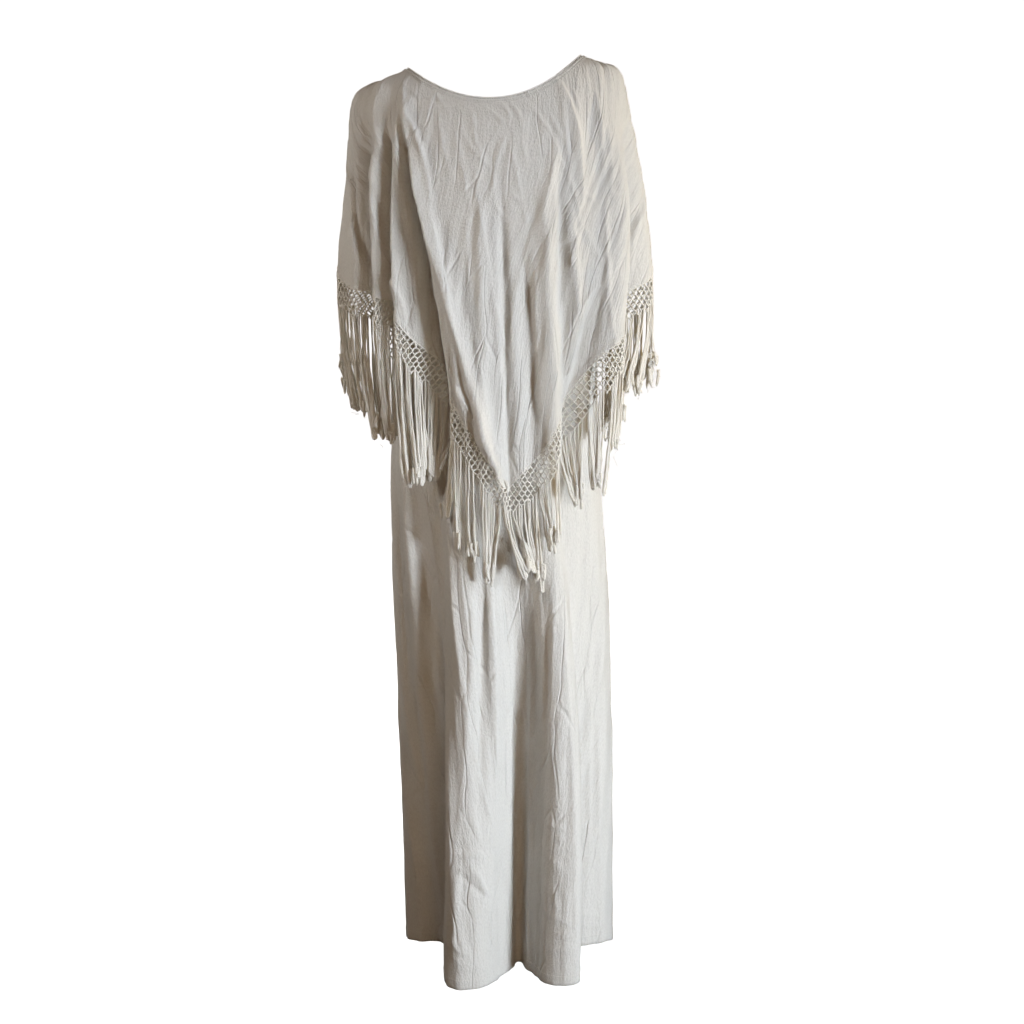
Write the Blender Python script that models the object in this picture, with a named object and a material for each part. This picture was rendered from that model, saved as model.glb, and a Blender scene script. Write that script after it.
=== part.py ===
"""A maxi dress of crinkled cotton gauze with a pointed, fringed cape over it.

The garment is filled out and hollow, in metres, with +Z up, its front towards -Y and
its own right sleeve side towards -X. The origin lies in the neck opening, at the level
where the shoulders hold it. Every cloth piece is a thin wall on a surface that is
worked out from sections and folds. Angles are in degrees round the upright axis: 180 is
the side seam at -X, 270 the centre front, 360 the other side seam, 90 the centre back.
"""
from collections import namedtuple

import bmesh
import bpy
import numpy as np

# Cloth
CLOTH = 0.0012
SEAM_GAP = 0.0003
HEM_GAP = 0.0005
FRONT = 1
BACK = -1

# Neck opening
NECK_LEFT = 0.130
NECK_RIGHT = 0.120
NECK_DROP = {FRONT: 0.058, BACK: 0.050}
NECK_POWER = 2.1
NECK_CROWDING = 0.09
BINDING_DEPTH = 0.011
BINDING_THICK = 0.0036
BINDING_INSET = 0.0012
FAN_HEIGHT = 0.30

# The dress lies inside the cape
LAYER_DROP = 0.0026
LAYER_INSET = 0.0026
LAYER_FREE = -0.09
ARMHOLE_TOP = -0.016
ARMHOLE_LOW = -0.200
ARMHOLE_HALF = 0.056
OPENING_START = 0.018
OPENING_GROWTH = 0.05
OPENING_SPREAD = 4

# One shoulder is held higher than the other
SHOULDER_TILT = 0.072
TILT_END = -0.30

# Net and fringe
NET_DEPTH = 0.044
NET_AT_POINT = 0.026
NET_POINT_WIDTH = 14.0
NET_THICK = 0.0020
POINT_ANGLE = {FRONT: 275.0, BACK: 88.0}
ROOT_SPACING = 0.0082
ROOT_DROP = 0.010
STRAND_HALF_WIDTH = 0.0018
STRAND_HALF_DEPTH = 0.0011
STRAND_TAPER = 0.35
STRAND_LEVELS = (0.15, 0.60, 1.0)
END_SPACING = 0.0036
END_STAGGER = 0.006
GATHER_POWER = 1.8
BACK_BUNDLE = 5
BACK_FRINGE = (0.112, 0.128, 0.104, 0.120)

# Columns of a panel, its rows, their crowding towards the top, the height at which the
# columns are evenly spaced, and the gap below the binding
COLUMNS = 44
Rows = namedtuple("Rows", "count crowding even_height start_gap")
CAPE_ROWS = Rows(12, 1.15, -0.34, SEAM_GAP)
DRESS_ROWS = Rows(13, 1.55, -1.20, 0.0009)
FINE_STEPS = 160

Section = namedtuple("Section", "height left right front back centre")
CAPE_ROUNDNESS = 2.25
CAPE_SECTIONS = (
    Section(-0.800, 0.238, 0.238, 0.142, 0.138, 0),
    Section(-0.650, 0.236, 0.236, 0.140, 0.136, 0),
    Section(-0.300, 0.233, 0.230, 0.136, 0.132, 0),
    Section(-0.200, 0.225, 0.218, 0.130, 0.126, 0),
    Section(-0.100, 0.220, 0.198, 0.110, 0.108, 0),
    Section(-0.050, 0.215, 0.187, 0.086, 0.086, 0),
    Section(-0.030, 0.206, 0.181, 0.071, 0.072, 0),
    Section(-0.020, 0.187, 0.172, 0.062, 0.063, 0),
    Section(-0.010, 0.155, 0.146, 0.050, 0.051, 0),
    Section(0.000, 0.130, 0.120, 0.034, 0.035, 0),
    Section(0.006, 0.122, 0.112, 0.026, 0.026, 0),
)
DRESS_ROUNDNESS = 2.2
DRESS_SECTIONS = (
    Section(-1.380, 0.146, 0.180, 0.055, 0.062, 0.032),
    Section(-1.190, 0.151, 0.180, 0.066, 0.072, 0.032),
    Section(-1.030, 0.154, 0.177, 0.080, 0.084, 0.031),
    Section(-0.900, 0.158, 0.173, 0.093, 0.094, 0.028),
    Section(-0.770, 0.162, 0.167, 0.102, 0.102, 0.020),
    Section(-0.650, 0.163, 0.157, 0.103, 0.105, 0.010),
    Section(-0.550, 0.160, 0.150, 0.101, 0.105, 0.004),
    Section(-0.380, 0.156, 0.148, 0.097, 0.104, 0),
    Section(-0.200, 0.158, 0.152, 0.099, 0.105, 0),
    Section(-0.100, 0.163, 0.156, 0.095, 0.098, 0),
    Section(0.006, 0.166, 0.158, 0.085, 0.085, 0),
)

# Height of the lower edge all round the garment
CAPE_HEM = (
    (0, -0.297), (12, -0.328), (40, -0.425), (66, -0.520), (88, -0.612),
    (112, -0.525), (140, -0.418), (168, -0.325), (180, -0.295), (194, -0.323),
    (203, -0.337), (213, -0.362), (224, -0.412), (237, -0.456), (245, -0.498),
    (266, -0.582), (275, -0.616), (283, -0.585), (297, -0.527), (318, -0.441),
    (329, -0.406), (350, -0.330), (360, -0.297),
)
DRESS_HEM = (
    (0, -1.360), (30, -1.368), (90, -1.370), (150, -1.366), (180, -1.356),
    (198, -1.347), (214, -1.352), (226, -1.372), (245, -1.374), (270, -1.372),
    (300, -1.368), (314, -1.364), (332, -1.350), (345, -1.350), (360, -1.360),
)

# A fold starts at height top and has its full form at height low. depth is out (+) or in
# (-). A sharpness of 2 is round, less is pinched, more is flat-topped with steep sides.
# rise is the share of its run over which it grows, and fade 1 makes it die out at low.
Fold = namedtuple("Fold", "top low angle end_angle width end_width depth sharpness rise fade")
CAPE_FOLDS = (
    Fold(-0.08, -0.30, 188.0, 187.0, 3.0, 3.5, 0.005, 2.0, 0.8, 0),
    Fold(-0.12, -0.32, 191.5, 203.5, 2.6, 3.4, -0.012, 2.0, 0.8, 0),
    Fold(-0.08, -0.33, 199.0, 208.5, 3.0, 3.2, 0.008, 2.0, 0.8, 0),
    Fold(-0.06, -0.34, 205.5, 214.0, 3.4, 3.8, -0.017, 2.0, 0.8, 0),
    Fold(-0.04, -0.40, 210.0, 221.0, 3.6, 4.6, 0.013, 2.0, 0.6, 0),
    Fold(-0.03, -0.43, 212.0, 231.0, 3.8, 6.6, -0.032, 2.1, 0.9, 0),
    Fold(-0.01, -0.60, 207.5, 271.0, 3.2, 4.8, 0.013, 1.8, 0.25, 0),
    Fold(-0.32, -0.53, 241.5, 253.0, 2.6, 3.0, 0.006, 1.6, 0.6, 0),
    Fold(-0.20, -0.50, 283.0, 291.0, 4.0, 4.5, -0.012, 2.0, 0.8, 0),
    Fold(-0.10, -0.40, 307.0, 292.0, 5.0, 5.0, 0.007, 2.0, 0.4, 1),
    Fold(-0.28, -0.50, 301.0, 301.0, 2.4, 3.0, 0.007, 1.6, 0.6, 0),
    Fold(-0.02, -0.26, 320.0, 314.0, 2.4, 2.2, 0.008, 1.5, 0.2, 1),
    Fold(-0.17, -0.38, 309.5, 313.5, 2.0, 2.0, 0.006, 1.5, 0.3, 1),
    Fold(-0.30, -0.46, 324.0, 313.0, 3.0, 3.4, -0.015, 2.0, 0.6, 0),
    Fold(-0.03, -0.41, 337.0, 326.5, 4.0, 6.0, 0.014, 2.2, 0.5, 0),
    Fold(-0.04, -0.34, 349.0, 344.0, 4.0, 7.0, -0.050, 2.4, 0.8, 0),
    Fold(-0.06, -0.33, 8.0, 14.0, 4.0, 5.5, -0.030, 2.2, 0.8, 0),
    Fold(-0.06, -0.42, 24.0, 30.0, 4.0, 5.0, 0.010, 2.0, 0.8, 0),
    Fold(-0.05, -0.46, 40.0, 46.0, 4.0, 5.5, -0.028, 2.2, 0.8, 0),
    Fold(-0.02, -0.60, 38.0, 80.0, 3.0, 3.4, 0.012, 1.5, 0.2, 0),
    Fold(-0.20, -0.55, 92.0, 97.0, 4.0, 5.0, -0.014, 2.0, 0.8, 0),
    Fold(-0.02, -0.55, 146.0, 110.0, 3.0, 3.4, 0.010, 1.6, 0.2, 0),
    Fold(-0.06, -0.45, 136.0, 130.0, 4.0, 5.5, -0.026, 2.2, 0.8, 0),
    Fold(-0.06, -0.40, 152.0, 147.0, 4.0, 5.0, 0.010, 2.0, 0.8, 0),
    Fold(-0.08, -0.34, 166.0, 163.0, 4.0, 5.0, -0.024, 2.2, 0.8, 0),
)
DRESS_FOLDS = (
    Fold(-0.42, -1.37, 245.0, 238.5, 17.0, 19.5, 0.110, 4.0, 1.0, 0),
    Fold(-0.42, -1.37, 299.0, 298.0, 8.0, 16.5, 0.104, 4.0, 1.0, 0),
    Fold(-0.66, -1.12, 250.5, 249.0, 2.6, 3.0, -0.010, 2.0, 0.4, 1),
    Fold(-0.50, -1.30, 198.0, 196.0, 3.0, 3.4, -0.008, 2.0, 0.5, 0),
    Fold(-0.50, -1.20, 204.5, 203.0, 3.0, 3.6, 0.009, 2.0, 0.5, 1),
    Fold(-0.50, -1.30, 336.0, 342.0, 5.0, 6.0, 0.006, 2.0, 0.6, 0),
    Fold(-0.42, -1.37, 62.0, 61.0, 10.0, 17.0, 0.096, 3.8, 1.0, 0),
    Fold(-0.42, -1.37, 116.0, 119.0, 14.0, 18.0, 0.100, 3.8, 1.0, 0),
    Fold(-0.50, -1.30, 20.0, 22.0, 4.0, 5.0, 0.007, 2.0, 0.6, 0),
)

# Each bundle takes the strands whose roots lie before last_angle
Bundle = namedtuple("Bundle", "last_angle end_x end_height")
FRONT_BUNDLES = (
    Bundle(193.0, -0.214, -0.497),
    Bundle(199.5, -0.196, -0.502),
    Bundle(206.0, -0.174, -0.530),
    Bundle(214.0, -0.155, -0.537),
    Bundle(221.0, -0.130, -0.602),
    Bundle(226.0, -0.113, -0.598),
    Bundle(236.5, -0.094, -0.594),
    Bundle(243.0, -0.076, -0.648),
    Bundle(251.5, -0.057, -0.689),
    Bundle(260.0, -0.036, -0.704),
    Bundle(271.5, -0.014, -0.736),
    Bundle(286.0, 0.044, -0.730),
    Bundle(294.0, 0.062, -0.741),
    Bundle(303.5, 0.082, -0.686),
    Bundle(317.0, 0.117, -0.627),
    Bundle(326.0, 0.147, -0.604),
    Bundle(332.0, 0.171, -0.551),
    Bundle(341.0, 0.156, -0.520),
    Bundle(349.0, 0.166, -0.500),
    Bundle(353.0, 0.192, -0.470),
    Bundle(357.5, 0.209, -0.476),
    Bundle(360.0, 0.230, -0.440),
)

# Colours as the light falls on them in the cloth
GAUZE = (0.80, 0.79, 0.75, 1)
GAUZE_SHADE = (0.74, 0.72, 0.67, 1)
YARN = (0.82, 0.80, 0.74, 1)


def smooth_curve(rows, column, at):
    """Reads a column of a table at the places at, along a smooth curve with no overshoot."""
    ordered = sorted(rows, key=lambda row: row[0])
    places = np.array([row[0] for row in ordered], dtype=float)
    values = np.array([row[column] for row in ordered], dtype=float)
    steps = np.diff(places)
    slopes = np.diff(values) / steps
    least = np.minimum(np.abs(slopes[1:]), np.abs(slopes[:-1]))
    middle = (slopes[1:] + slopes[:-1]) / 2
    middle = np.sign(middle) * np.minimum(np.abs(middle), 3 * least)
    middle[slopes[1:] * slopes[:-1] <= 0] = 0
    tangents = np.concatenate(([slopes[0]], middle, [slopes[-1]]))
    index = np.clip(np.searchsorted(places, at) - 1, 0, len(steps) - 1)
    part = np.clip((at - places[index]) / steps[index], 0, 1)
    rest = 1 - part
    start = values[index] * rest ** 2 * (1 + 2 * part)
    end = values[index + 1] * part ** 2 * (3 - 2 * part)
    lean = tangents[index] * rest ** 2 * part - tangents[index + 1] * part ** 2 * rest
    return start + end + lean * steps[index]


def smooth_step(part):
    """Runs from 0 to 1 with level ends."""
    held = np.clip(part, 0, 1)
    return held * held * (3 - 2 * held)


def turn_between(angle, centre):
    """The signed turn from centre to angle, the short way round."""
    return (angle - centre + 180) % 360 - 180


def relief(folds, angle, height):
    """How far the folds push the cloth out at each angle and height."""
    total = np.zeros_like(height)
    for fold in folds:
        run = (fold.top - height) / (fold.top - fold.low)
        held = np.clip(run, 0, 1.15)
        centre = fold.angle + (fold.end_angle - fold.angle) * held
        width = fold.width + (fold.end_width - fold.width) * held
        strength = smooth_step(run / fold.rise)
        if fold.fade:
            strength = strength * smooth_step((1 - run) / 0.4)
        away = np.abs(turn_between(angle, centre)) / width
        total += fold.depth * strength * np.exp(-away ** fold.sharpness)
    return total


def section_radius(sections, roundness, angle, height):
    """Distance from the section's centre to its rounded outline."""
    turn = np.radians(angle)
    centre = smooth_curve(sections, 5, height)
    left = smooth_curve(sections, 1, height) + centre
    right = smooth_curve(sections, 2, height) - centre
    side = np.where(np.cos(turn) < 0, left, right)
    front = smooth_curve(sections, 3, height)
    back = smooth_curve(sections, 4, height)
    deep = np.where(np.sin(turn) < 0, front, back)
    across = np.abs(np.cos(turn) / side) ** roundness
    along = np.abs(np.sin(turn) / deep) ** roundness
    return (across + along) ** (-1 / roundness)


def placed(angle, height, radius, centre):
    """Points at the given radius, raised towards the higher shoulder."""
    turn = np.radians(angle)
    across = centre + radius * np.cos(turn)
    tilt = SHOULDER_TILT * (1 - smooth_step(height / TILT_END))
    return np.stack([across, radius * np.sin(turn), height + tilt * across], axis=-1)


def cape_surface(angle, height):
    radius = section_radius(CAPE_SECTIONS, CAPE_ROUNDNESS, angle, height)
    return placed(angle, height, radius + relief(CAPE_FOLDS, angle, height), 0)


def dress_surface(angle, height):
    """The dress, which lies close under the cape on the shoulders and hangs free below."""
    cape = section_radius(CAPE_SECTIONS, CAPE_ROUNDNESS, angle, height + LAYER_DROP)
    limit = cape - LAYER_INSET + np.maximum(0, LAYER_FREE - height)
    body = section_radius(DRESS_SECTIONS, DRESS_ROUNDNESS, angle, height)
    radius = np.minimum(limit, body) + relief(DRESS_FOLDS, angle, height)
    return placed(angle, height, radius, smooth_curve(DRESS_SECTIONS, 5, height))


def outward(surface, angle, height):
    """Unit normals of a surface, from its slopes round and up the garment."""
    turn = 0.05
    rise = 0.0002
    around = surface(angle + turn, height) - surface(angle - turn, height)
    upward = surface(angle, height + rise) - surface(angle, height - rise)
    normal = np.cross(around, upward)
    return normal / np.linalg.norm(normal, axis=-1, keepdims=True)


def neck_edge(share, half):
    """Height and turn from the side seam of the neck's edge at a share of its way across."""
    swing = np.cos(np.pi * (share - NECK_CROWDING * np.sin(2 * np.pi * share)))
    reach = np.where(swing > 0, NECK_LEFT, NECK_RIGHT) * np.abs(swing)
    height = -NECK_DROP[half] * (1 - np.abs(swing) ** NECK_POWER)
    left = smooth_curve(CAPE_SECTIONS, 1, height)
    right = smooth_curve(CAPE_SECTIONS, 2, height)
    side = np.where(swing > 0, left, right)
    deep = smooth_curve(CAPE_SECTIONS, 3 if half == FRONT else 4, height)
    inner = np.clip(1 - (reach / side) ** CAPE_ROUNDNESS, 0, 1)
    away = deep * inner ** (1 / CAPE_ROUNDNESS)
    turn = np.degrees(np.arctan2(away, reach * np.sign(swing)))
    return height, turn


def even_turns(surface, height, half, count):
    """Turns from the side seam that part the cloth into even widths at a height."""
    turns = np.linspace(0, 180, 1441)
    points = surface(180 + half * turns, np.full_like(turns, height))
    steps = np.linalg.norm(np.diff(points, axis=0), axis=1)
    length = np.concatenate(([0], np.cumsum(steps)))
    return np.interp(np.linspace(0, length[-1], count + 1), length, turns)


def no_opening(height):
    return np.zeros_like(height)


def armhole(height):
    """Half the width of the open stretch of the dress's side seam."""
    run = (ARMHOLE_TOP - height) / (ARMHOLE_TOP - ARMHOLE_LOW)
    return ARMHOLE_HALF * np.sin(np.pi * np.clip(run, 0, 1)) ** 0.8


def angles_at(surface, opening, half, turns, height):
    """Angles of the panel's upright lines at each height, fanned out from the neck."""
    neck_height, neck_turn = neck_edge(np.linspace(0, 1, len(turns)), half)
    below = neck_height - height
    turn = neck_turn + (turns - neck_turn) * smooth_step(below / FAN_HEIGHT)
    share = turn / 180
    open_part = smooth_step((below - OPENING_START) / OPENING_GROWTH)
    for seam, near, way in ((180.0, 1 - share, 1), (360.0, share, -1)):
        radius = np.linalg.norm(surface(np.full_like(height, seam), height)[..., :2], axis=-1)
        away = SEAM_GAP / 2 * near + opening(height) * open_part * near ** OPENING_SPREAD
        turn = turn + way * np.degrees(np.arcsin(away / radius))
    return 180 + half * turn


def running_length(points):
    """Length along each column of a grid of points, from its first row."""
    steps = np.linalg.norm(np.diff(points, axis=0), axis=2)
    return np.vstack([np.zeros(points.shape[1]), np.cumsum(steps, axis=0)])


def binding_lines(half, ways):
    """Angles and heights on the cape's surface at the given ways down from the neck's edge."""
    top, neck_turn = neck_edge(np.linspace(0, 1, COLUMNS + 1), half)
    heights = top - 3 * BINDING_DEPTH * np.linspace(0, 1, FINE_STEPS)[:, None]
    angles = 180 + half * np.broadcast_to(neck_turn, heights.shape)
    length = running_length(cape_surface(angles, heights))
    rows = [np.interp(ways, length[:, k], heights[:, k]) for k in range(COLUMNS + 1)]
    rows = np.stack(rows, axis=1)
    return 180 + half * np.broadcast_to(neck_turn, rows.shape), rows


def panel_lines(surface, hem, opening, half, turns, rows):
    """Angles and heights of a panel's points, row by row down its cut length."""
    top = neck_edge(np.linspace(0, 1, len(turns)), half)[0]
    low = smooth_curve(hem, 1, (180 + half * turns) % 360.001)
    fine = np.linspace(0, 1, FINE_STEPS)[:, None] ** 1.6
    heights = top + (low - top) * fine
    points = surface(angles_at(surface, opening, half, turns, heights), heights)
    length = running_length(points)
    last = cape_surface(*binding_lines(half, (0.9 * BINDING_DEPTH, BINDING_DEPTH)))
    onward = (last[1] - last[0]) / np.linalg.norm(last[1] - last[0], axis=-1, keepdims=True)
    past = np.einsum("rck,ck->rc", points - last[1], onward)
    shares = np.linspace(0, 1, rows.count + 1) ** rows.crowding
    levels = np.empty((len(shares), len(turns)))
    for column in range(len(turns)):
        skipped = np.interp(rows.start_gap, past[:, column], length[:, column])
        way = skipped + (length[-1, column] - skipped) * shares
        levels[:, column] = np.interp(way, length[:, column], heights[:, column])
    return angles_at(surface, opening, half, turns, levels), levels


def coloured(name, colour, roughness):
    material = bpy.data.materials.new(name)
    material.use_nodes = True
    shader = material.node_tree.nodes["Principled BSDF"]
    shader.inputs["Base Color"].default_value = colour
    shader.inputs["Roughness"].default_value = roughness
    shader.inputs["Metallic"].default_value = 0
    return material


def new_body(name, mesh_data, collection, material):
    """Makes a named object from a closed bmesh whose faces then all point out."""
    bmesh.ops.recalc_face_normals(mesh_data, faces=mesh_data.faces)
    mesh = bpy.data.meshes.new(name)
    mesh_data.to_mesh(mesh)
    mesh_data.free()
    mesh.materials.append(material)
    mesh.shade_smooth()
    mesh.set_sharp_from_angle(angle=np.radians(50))
    body = bpy.data.objects.new(name, mesh)
    collection.objects.link(body)
    return body


def wall(outer, inner, closed):
    """A closed bmesh between two grids of points, whose columns may join into a ring."""
    body = bmesh.new()
    rows, columns = outer.shape[:2]
    skins = [[[body.verts.new(point) for point in row] for row in grid] for grid in (outer, inner)]
    spans = columns if closed else columns - 1
    for row in range(rows - 1):
        for column in range(spans):
            after = (column + 1) % columns
            for skin in skins:
                body.faces.new((skin[row][column], skin[row][after],
                                skin[row + 1][after], skin[row + 1][column]))
    for column in range(spans):
        after = (column + 1) % columns
        for row in (0, rows - 1):
            body.faces.new((skins[0][row][column], skins[0][row][after],
                            skins[1][row][after], skins[1][row][column]))
    if not closed:
        for column in (0, columns - 1):
            for row in range(rows - 1):
                body.faces.new((skins[0][row][column], skins[0][row + 1][column],
                                skins[1][row + 1][column], skins[1][row][column]))
    return body


def cloth_panel(name, surface, hem, opening, half, rows, collection, material):
    """One cut panel as a wall, from under the binding to its hem."""
    turns = even_turns(surface, rows.even_height, half, COLUMNS)
    angle, height = panel_lines(surface, hem, opening, half, turns, rows)
    middle = surface(angle, height)
    normal = outward(surface, angle, height)
    body = wall(middle + normal * CLOTH / 2, middle - normal * CLOTH / 2, False)
    new_body(name, body, collection, material)
    return middle[-1], normal[-1], angle[-1], height[-1]


def neck_binding(collection, material):
    """The folded strip that holds both layers' neck edges, as one ring."""
    grids = []
    for half in (FRONT, BACK):
        angles, rows = binding_lines(half, (0, BINDING_DEPTH))
        normal = outward(cape_surface, angles, rows)
        grids.append((cape_surface(angles, rows) - normal * BINDING_INSET, normal))
    ring = [np.concatenate((grids[0][k], grids[1][k][:, -2:0:-1]), axis=1) for k in (0, 1)]
    body = wall(ring[0] + ring[1] * BINDING_THICK / 2, ring[0] - ring[1] * BINDING_THICK / 2, True)
    new_body("neck_binding", body, collection, material)


def level(vectors):
    """The vectors laid level, at unit length."""
    flat = np.asarray(vectors, dtype=float).copy()
    flat[..., 2] = 0
    return flat / np.linalg.norm(flat, axis=-1, keepdims=True)


def front_bundles(roots, angles):
    """Groups the roots by the table and gives each group its end."""
    groups = []
    first = 0
    for bundle in FRONT_BUNDLES:
        last = int(np.searchsorted(angles, bundle.last_angle))
        if last > first:
            away = roots[first:last, 1].mean()
            groups.append((range(first, last), np.array([bundle.end_x, away, bundle.end_height])))
        first = max(first, last)
    return groups


def back_bundles(roots):
    """Groups the hidden back's roots evenly, with uneven lengths."""
    groups = []
    for order, first in enumerate(range(0, len(roots), BACK_BUNDLE)):
        members = range(first, min(first + BACK_BUNDLE, len(roots)))
        end = roots[members.start:members.stop].mean(axis=0)
        end[2] -= BACK_FRINGE[order % len(BACK_FRINGE)]
        groups.append((members, end))
    return groups


def strand_ends(roots, groups):
    """End points of the strands, drawn together in their bundles and apart."""
    ends = np.array(roots)
    for members, end in groups:
        steps = np.diff(roots[members.start:members.stop, :2], axis=0)
        steps *= END_SPACING / np.linalg.norm(steps, axis=1, keepdims=True)
        offsets = np.vstack([[0, 0], np.cumsum(steps, axis=0)])
        offsets -= offsets.mean(axis=0)
        for place, strand in enumerate(members):
            ends[strand, :2] = end[:2] + offsets[place]
            ends[strand, 2] = end[2] + END_STAGGER * ((place * 2) % 3) / 2
    return ends


def fringe(name, edge, half, collection, material):
    """A net band below a cape hem, with its strands fused to the band's lower edge."""
    middle, normal, angle, height = edge
    widths = np.linalg.norm(np.diff(middle[:, :2], axis=0), axis=1)
    parts = 2 * np.maximum(1, np.rint(widths / ROOT_SPACING)).astype(int)
    place = np.concatenate([column + np.arange(count) / count
                            for column, count in enumerate(parts)] + [[len(parts)]])
    whole = np.arange(len(middle))
    slant = np.linalg.norm(np.diff(middle, axis=0), axis=1) / widths
    gap = HEM_GAP * np.maximum(np.append(slant, 1), np.insert(slant, 0, 1))
    seam = middle - gap[:, None] * np.array([0, 0, 1])
    top, facing = [np.stack([np.interp(place, whole, grid[:, k]) for k in range(3)], axis=1)
                   for grid in (seam, normal)]
    low_angle = np.interp(place, whole, angle)
    near_point = np.exp(-(turn_between(low_angle, POINT_ANGLE[half]) / NET_POINT_WIDTH) ** 2)
    depth = NET_DEPTH + (NET_AT_POINT - NET_DEPTH) * near_point
    low_height = np.interp(place, whole, height - gap) - depth
    low = cape_surface(low_angle, low_height)
    low_normal = outward(cape_surface, low_angle, low_height)
    shift = np.stack([facing, low_normal]) * NET_THICK / 2
    grid = np.stack([top, low])
    roots = (low[1::2][:len(low) // 2] + low[2::2][:len(low) // 2]) / 2
    sideways = low[2::2] - low[1::2][:len(low[2::2])]
    root_angles = (low_angle[1::2] + low_angle[2::2]) / 2
    groups = front_bundles(roots, root_angles) if half == FRONT else back_bundles(roots)
    ends = strand_ends(roots, groups)
    body = wall(grid + shift, grid - shift, False)
    points = list(body.verts)
    columns = len(place)
    for strand, (root, end) in enumerate(zip(roots, ends)):
        column = 2 * strand + 1
        corners = [points[columns + column], points[columns + column + 1],
                   points[3 * columns + column + 1], points[3 * columns + column]]
        grow_strand(body, corners, root, end, level(sideways[strand]))
    new_body(name, body, collection, material)


def grow_strand(body, corners, root, end, across):
    """Replaces a face of the band's lower edge with a four-sided strand."""
    old = body.faces.get(corners)
    body.faces.remove(old)
    facing = np.array([across[1], -across[0], 0])
    start = root - np.array([0, 0, ROOT_DROP])
    flip = 1 if (np.array(corners[0].co) - np.array(corners[3].co)) @ facing > 0 else -1
    for share in STRAND_LEVELS:
        centre = start + (end - start) * share
        centre[:2] = start[:2] + (end - start)[:2] * share ** GATHER_POWER
        wide = across * STRAND_HALF_WIDTH * (1 - STRAND_TAPER * share)
        deep = facing * flip * STRAND_HALF_DEPTH
        ring = [body.verts.new(centre + offset)
                for offset in (deep - wide, deep + wide, wide - deep, -wide - deep)]
        for side in range(4):
            after = (side + 1) % 4
            body.faces.new((corners[side], corners[after], ring[after], ring[side]))
        corners = ring
    body.faces.new(corners)


def main():
    for old in list(bpy.data.objects):
        bpy.data.objects.remove(old)
    collection = bpy.data.collections.new("fringe_dress")
    bpy.context.scene.collection.children.link(collection)
    gauze = coloured("cape_gauze", GAUZE, 0.9)
    shade = coloured("dress_gauze", GAUZE_SHADE, 0.9)
    yarn = coloured("yarn", YARN, 0.9)
    binding = coloured("binding_gauze", GAUZE, 0.9)
    neck_binding(collection, binding)
    for half, side in ((FRONT, "front"), (BACK, "back")):
        edge = cloth_panel("cape_" + side, cape_surface, CAPE_HEM, no_opening, half,
                           CAPE_ROWS, collection, gauze)
        cloth_panel("dress_" + side, dress_surface, DRESS_HEM, armhole, half,
                    DRESS_ROWS, collection, shade)
        fringe("fringe_" + side, edge, half, collection, yarn)


main()
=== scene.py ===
"""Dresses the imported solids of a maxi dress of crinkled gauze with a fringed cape.

The cloth pieces start from the sections of their solids and add fine creases. The cape's
front hem, the net's depth and some folds are drawn closer to the photograph here than in
the solids, and stand up to 45 mm from them. Angles are in degrees round the upright axis:
180 is the side seam at -X, 270 the centre front, 360 the other side seam and 90 the
centre back.
"""
from collections import namedtuple

import bpy
import numpy as np
from bpy.props import FloatProperty, FloatVectorProperty, IntProperty, PointerProperty
from bpy.types import Operator, Panel, PropertyGroup
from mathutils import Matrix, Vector


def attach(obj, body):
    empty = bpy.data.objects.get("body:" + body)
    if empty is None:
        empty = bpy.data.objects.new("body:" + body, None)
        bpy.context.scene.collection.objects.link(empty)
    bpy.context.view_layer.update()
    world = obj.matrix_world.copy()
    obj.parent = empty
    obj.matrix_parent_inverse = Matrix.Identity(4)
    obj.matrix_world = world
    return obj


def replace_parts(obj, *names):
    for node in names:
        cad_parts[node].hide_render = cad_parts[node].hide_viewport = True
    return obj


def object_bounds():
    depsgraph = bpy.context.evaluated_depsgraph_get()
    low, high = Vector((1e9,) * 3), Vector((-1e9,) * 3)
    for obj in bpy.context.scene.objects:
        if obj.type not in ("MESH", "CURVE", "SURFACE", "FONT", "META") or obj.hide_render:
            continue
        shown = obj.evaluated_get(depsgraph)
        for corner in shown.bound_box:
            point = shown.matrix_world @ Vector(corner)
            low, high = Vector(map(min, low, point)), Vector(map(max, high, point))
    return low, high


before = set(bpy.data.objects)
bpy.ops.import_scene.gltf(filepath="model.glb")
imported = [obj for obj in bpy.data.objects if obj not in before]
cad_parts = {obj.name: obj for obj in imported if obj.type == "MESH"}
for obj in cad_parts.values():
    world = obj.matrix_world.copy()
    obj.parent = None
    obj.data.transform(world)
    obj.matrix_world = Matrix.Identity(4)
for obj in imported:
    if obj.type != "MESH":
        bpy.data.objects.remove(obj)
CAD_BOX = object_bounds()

bl_info = {
    "name": "Fringe dress",
    "version": (1, 0, 0),
    "blender": (4, 5, 0),
    "location": "View3D > Sidebar > Fringe dress",
    "description": "Builds the cloth, net, fringe and stitching of a gauze dress with a cape",
    "category": "Object",
}

FRONT = 1
BACK = -1

# Neck, binding, layers, armholes and the tilt of the shoulders
SEAM_GAP = 0.0003
NECK_LEFT = 0.130
NECK_RIGHT = 0.120
NECK_DROP = {FRONT: 0.058, BACK: 0.050}
NECK_POWER = 2.1
NECK_CROWDING = 0.09
BINDING_DEPTH = 0.011
BINDING_INSET = 0.0012
FAN_HEIGHT = 0.30
LAYER_DROP = 0.0026
LAYER_INSET = 0.0026
LAYER_FREE = -0.09
ARMHOLE_TOP = -0.016
ARMHOLE_LOW = -0.200
ARMHOLE_HALF = 0.056
OPENING_START = 0.018
OPENING_GROWTH = 0.05
OPENING_SPREAD = 4
SHOULDER_TILT = 0.072
TILT_END = -0.30
SEWN_IN = 0.0035
FINE_STEPS = 200

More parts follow.
